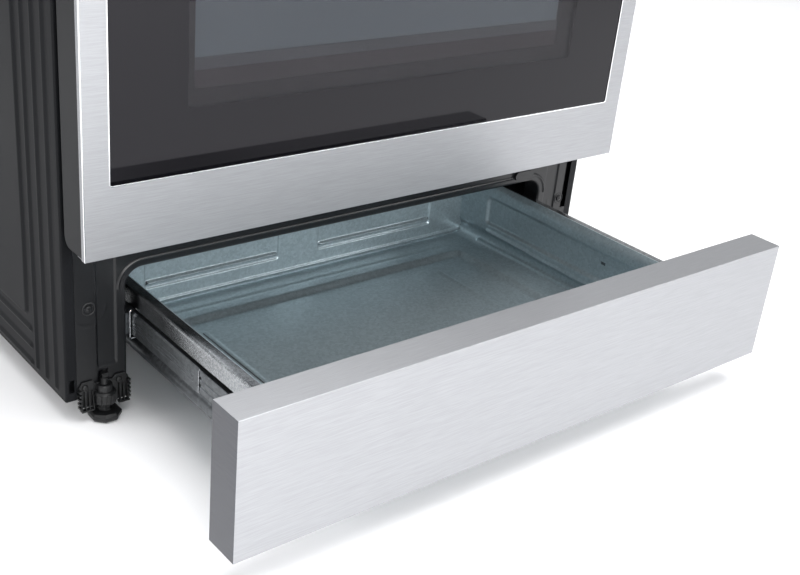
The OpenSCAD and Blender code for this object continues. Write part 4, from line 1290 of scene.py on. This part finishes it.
def folded_cover(name, corners, slots, replaces):
    """Long folded stainless cover with closed ends. Slots are x0, x1 and the two corners of the
    side view between which they are open."""
    path = fold(corners)
    index = {}
    for y, z, radius in corners:
        if not radius:
            index[(y, z)] = min(range(len(path)), key=lambda i: (path[i][0] - Vector((y, z))).length)

    def place(x, k):
        (y, z), (ny, nz) = path[k]
        return (x, y, z), (0.0, ny, nz)

    holes = [(x0, x1, index[low[:2]], index[high[:2]]) for x0, x1, low, high in slots]
    ends = [x for x0, x1, _, _ in slots for x in (x0, x1)]
    side = SIDE_X - COVER_SHEET
    xs = sorted(set([-side, side] + ends))
    shell = Shell().pressed(xs, list(range(len(path))), place, lambda x, k: 0.0, COVER_SHEET, holes=holes)
    outline = [tuple(point) for point, _ in path]
    for x0, x1 in ((-SIDE_X, -side), (side, SIDE_X)):
        shell.prism(outline, "x", x0, x1)
    return piece(name, shell, STEEL, "range_body", replaces, angle=28)


def control_panel():
    """Tilted stainless panel with a bezel and generic tick marks round each knob."""
    stem_hole = 6.5
    rear = FRAME_Y - 0.2
    top_y = FASCIA_Y + (SIDE_TOP - FASCIA_Z) * math.tan(TILT)
    middle = (KNOB_Z - FASCIA_Z) / math.cos(TILT)
    low, high = [(FASCIA_Y + s * math.sin(TILT), FASCIA_Z + s * math.cos(TILT), 0)
                 for s in (middle - stem_hole, middle + stem_hole)]
    corners = [(rear, FASCIA_Z, 0), (FASCIA_Y, FASCIA_Z, 2.5), low, high, (top_y, SIDE_TOP, 2.5),
               (rear, SIDE_TOP, 0)]
    slots = [(x - stem_hole, x + stem_hole, low, high) for x in KNOB_X]
    folded_cover("control_panel_folded", corners, slots, ["control_panel"])
    bezels = Shell()
    marks = Shell()
    for x in KNOB_X:
        bezels.lathe([(25.2, -0.2), (28.5, -0.2), (28.5, 0.8), (27.6, 1.8), (26.2, 1.8), (25.2, 0.9),
                      (25.2, -0.2)], at_knob(x), 56)
        tick_marks(marks, at_knob(x))
    piece("knob_bezels", bezels, POLISHED_AND_HIGHLIGHT, "range_body", angle=30)
    piece("control_marks", marks, PRINT_GREY, "range_body")


def tick_marks(shell, place):
    """Thirteen plain ticks round a knob: the off position, then every 22.5 degrees."""
    inner = 31.5
    for k in range(13):
        turn = math.radians(-135 + 22.5 * k) if k else math.radians(-150)
        outer = inner + (6.0 if k % 4 == 0 else 3.5)
        corners = [(r * math.sin(turn) + half * math.cos(turn), r * math.cos(turn) - half * math.sin(turn))
                   for r, half in ((inner, -0.5), (inner, 0.5), (outer, 0.5), (outer, -0.5))]
        shell.loft([[place @ Vector((u, v, h)) for u, v in corners] for h in (-0.1, 0.25)])


def knob(number):
    """Spun metal knob: skirt, slightly tapered and fluted body, rounded grip, pointer."""
    place = at_knob(KNOB_X[number - 1])
    node = f"knob_{number}"
    shell = Shell()
    shell.lathe([(4.05, 4.5), (23.2, 4.5), (24, 5.3), (24, 8.4), (23.1, 9.4), (21.6, 9.7), (21, 10.6),
                 (20.4, 27), (19.6, 28.8), (18, 29.5), (4.05, 29.5), (4.05, 4.5)], place, 64)
    for k in range(36):
        turn = TAU * k / 36
        out_x, out_y = math.cos(turn), math.sin(turn)
        flute = [(20.75 * out_x + 0.45 * out_y, 20.75 * out_y - 0.45 * out_x),
                 (21.25 * out_x, 21.25 * out_y),
                 (20.75 * out_x - 0.45 * out_y, 20.75 * out_y + 0.45 * out_x)]
        shell.loft([[place @ Vector((u, v, h)) for u, v in flute] for h in (12.0, 25.5)])
    layers = []
    for inset, h in ((0.0, 28.5), (0.0, 32.0), (0.6, 33.6), (1.8, 34.5)):
        bar = rounded(inset - 4.5, 4.5 - inset, inset - 21, 21 - inset, 3.6 - inset)
        layers.append([place @ Vector((u, v, h)) for u, v in bar])
    shell.loft(layers)
    piece(node + "_spun", shell, KNOB_METAL, node, [node], angle=30)
    line = rounded(-0.8, 0.8, 7.5, 18.5, 0.7, 3)
    pointer = Shell().loft([[place @ Vector((u, v, h)) for u, v in line] for h in (34.3, 34.8)])
    piece(node + "_pointer", pointer, PRINT_BLACK, node)


control_panel()
for number in range(1, 6):
    knob(number)

# ---- backguard and display ----

GUARD_Y, GUARD_TOP = 261.5, 1195.0
GUARD_BACK = BACK_Y + 9
GUARD_TILT = math.radians(4)


def on_guard(x, s, h):
    """Point on the backguard's face: s up its slope, h out of it."""
    return (x, GUARD_Y + s * math.sin(GUARD_TILT) - h * math.cos(GUARD_TILT),
            SIDE_TOP + s * math.cos(GUARD_TILT) + h * math.sin(GUARD_TILT))


def guard_plate(shell, outline, h0, h1):
    """Plate on the backguard's face with the given outline in x and s."""
    return shell.loft([[on_guard(x, s, h) for x, s in outline] for h in (h0, h1)])


def backguard():
    """Folded stainless backguard with a row of oven vents, and behind them a black strip of painted shade.
    """
    lean = math.tan(GUARD_TILT)
    low, high = [(GUARD_Y + (z - SIDE_TOP) * lean, z, 0) for z in (929.0, 935.0)]
    corners = [(GUARD_Y, SIDE_TOP, 0), low, high, (GUARD_Y + (GUARD_TOP - SIDE_TOP) * lean, GUARD_TOP, 5.0),
               (GUARD_BACK, GUARD_TOP, 3.0), (GUARD_BACK, SIDE_TOP, 0)]
    vents = [(46 * k - 17, 46 * k + 17, low, high) for k in range(-6, 7)]
    folded_cover("backguard_folded", corners, vents, ["backguard"])
    # Black strip behind the vent slots: painted shade.
    liner = Shell().block(-330, 330, GUARD_Y + 12, GUARD_Y + 13, 920, 944)
    piece("backguard_vent_painted_shade", liner, SHADOW_BLACK, "range_body", bevel=0.2)


def display():
    """Black glass over the controls, with blank keys and a blank readout printed on it."""
    glass = guard_plate(Shell(), rounded(-310, 310, 155, 260, 5), -0.5, 3.6)
    piece("display_glass", glass, DISPLAY, "range_body", ["display_panel"], bevel=0.5)
    print_low, print_high = 3.5, 3.8
    readout = guard_plate(Shell(), rounded(-62, 62, 196, 236, 3), print_low, print_high)
    keys = Shell()
    for row in (186, 214):
        for column in range(5):
            for side in (-1, 1):
                x = side * (104 + 42 * column)
                bar = rounded(x - 11, x + 11, row - 0.8, row + 0.8, 0.7, 3)
                guard_plate(keys, bar, print_low, print_high)
    for column in range(-3, 4):
        dot = rounded(20 * column - 2.4, 20 * column + 2.4, 174, 178.8, 2.3)
        guard_plate(keys, dot, print_low, print_high)
    piece("display_keys", keys, PRINT_GREY, "range_body")
    piece("display_readout", readout, READOUT, "range_body")


backguard()
display()

# ---- rear ----


BEADS_Z = (230, 350, 470, 590)
LOUVRES_Z = (700, 735, 770, 805)
LOUVRES_X = [50 * column for column in range(-5, 6)]
GAS_OPENING = (-345, -255, 100, 185)


def rear_panel():
    """Galvanised rear sheet: stiffening beads, four rows of louvres in a raised field, the gas
    opening and the cord's hole."""
    half = SIDE_X - 2
    foot = 60.0

    def place(x, z):
        return (x, BACK_Y, z), (0.0, 1.0, 0.0)

    def rise(x, z):
        high = 2.4 * max(rib(x, z, -250, at, 250, at, 7) for at in BEADS_Z)
        high = max(high, 2.0 * field(x, z, -320, 320, 660, 850, 16, 5))
        for row in LOUVRES_Z:
            if abs(z - row) > 14:
                continue
            for column in LOUVRES_X:
                near = abs(x - column)
                if near < 20:
                    slope = max(0.0, 1 - (z - row + 7) / 14) if z > row - 7 else 0.0
                    high += 5.0 * slope * ease((20 - near) / 4)
        return high

    louvre_ends = [x + d for x in LOUVRES_X for d in (-20, -18, -16, 16, 18, 20)]
    louvre_steps = [z + d for z in LOUVRES_Z for d in (-7.2, -6.8, -3, 0, 3, 7)]
    xs = sorted(set(lines((-half, half, 9), (-346, -254, 3)) + louvre_ends + list(GAS_OPENING[:2])))
    bead_lines = [(at - 10, at + 10, 2) for at in BEADS_Z]
    zs = lines((foot, SIDE_TOP, 8), *bead_lines, (655, 670, 1.6), (840, 855, 1.6))
    zs = sorted(set(zs + louvre_steps + list(GAS_OPENING[2:])))
    shell = Shell().pressed(xs, zs, place, rise, SHEET, holes=[GAS_OPENING])
    shell.points = [(x, y + SHEET, z) for x, y, z in shell.points]
    sheet = piece("rear_panel_pressed", shell, GALVANISED, "range_body", ["rear_panel"])
    drill(sheet, Shell().lathe([(11, -5), (11, 6)], look_along((300, BACK_Y, 150), (0, 1, 0)), 40))


def rear_screws():
    """Screws round the rear sheet, and four through the back of the backguard."""
    sheet_y = BACK_Y + SHEET
    spots = [(side * 368, sheet_y, z) for side in (-1, 1) for z in (90, 250, 410, 570, 730, 870)]
    spots += [(x, sheet_y, z) for x in (-240, -80, 80, 240) for z in (72, 878)]
    spots += [(side * x, GUARD_BACK, 1180.0) for side in (-1, 1) for x in (120, 355)]
    screws = Shell()
    for x, y, z in spots:
        head = screw_head(Shell(), x, 0, z)
        screws.add([(px, y - py, pz) for px, py, pz in head.points], head.faces)
    piece("rear_panel_screws", screws, PLATED, "range_body", bevel=0.15)


rear_panel()
rear_screws()

# ---- light, floor and camera ----


def soft_box(name, location, target, width, height, power):
    """White studio light of the given size in metres and power in watts, aimed at a point."""
    lamp = bpy.data.lights.new(name, "AREA")
    lamp.shape = "RECTANGLE"
    lamp.size = width
    lamp.size_y = height
    lamp.energy = power
    obj = bpy.data.objects.new(name, lamp)
    obj.location = location
    obj.rotation_euler = (Vector(target) - Vector(location)).to_track_quat("-Z", "Y").to_euler()
    bpy.context.scene.collection.objects.link(obj)


def studio():
    """Pale floor, pale surroundings, one big light overhead, two in front, one at the left rear."""
    scene = bpy.context.scene
    world = bpy.data.worlds.new("studio_surroundings")
    world.use_nodes = True
    world.node_tree.nodes["Background"].inputs["Color"].default_value = linear("#f4f5f7")
    world.node_tree.nodes["Background"].inputs["Strength"].default_value = 0.62
    scene.world = world
    material, tree, shader, place = finish("matte_white_floor", Roughness=0.9)
    haze = noise(tree, place, 0.5, 1.0)
    tree.links.new(mixed(tree, haze, "#f3f3f4", "#f6f6f7"), shader.inputs["Base Color"])
    mesh = bpy.data.meshes.new("studio_floor")
    half = 9.0
    mesh.from_pydata([(-half, -half, 0), (half, -half, 0), (half, half, 0), (-half, half, 0)], [],
                     [(0, 1, 2, 3)])
    mesh.materials.append(material)
    floor = bpy.data.objects.new("studio_floor", mesh)
    scene.collection.objects.link(floor)
    soft_box("overhead", (0.3, -0.9, 3.2), (0, -0.3, 0), 3.2, 2.6, 130)
    soft_box("front", (-0.4, -3.2, 1.1), (0, -0.3, 0.1), 2.8, 1.2, 80)
    soft_box("strip", (1.9, -2.4, 1.1), (0, -0.3, 0.15), 1.4, 0.5, 14)
    soft_box("left_rear", (-3.2, 0.9, 1.6), (-0.7, 0.0, 0.0), 2.0, 2.0, 40)
    scene.view_settings.view_transform = "Standard"


def camera():
    """Close view from the front left, above the drawer."""
    yaw, pitch, roll = 0.7234279, -0.4549022, 0.1019048
    ahead = Vector((math.sin(yaw) * math.cos(pitch), math.cos(yaw) * math.cos(pitch), math.sin(pitch)))
    level = Vector((math.cos(yaw), -math.sin(yaw), 0))
    above = level.cross(ahead)
    right = math.cos(roll) * level + math.sin(roll) * above
    up = math.cos(roll) * above - math.sin(roll) * level
    lens = bpy.data.cameras.new("camera")
    lens.sensor_width = 36.0
    lens.lens = 52.585
    lens.shift_x = 0.0043
    lens.shift_y = 0.0082
    lens.clip_start = 0.02
    obj = bpy.data.objects.new("camera", lens)
    obj.matrix_world = Matrix.Translation((-0.81719, -1.28823, 0.70586)) @ Matrix(
        (right, up, -ahead)).transposed().to_4x4()
    bpy.context.scene.collection.objects.link(obj)
    bpy.context.scene.camera = obj


studio()
camera()
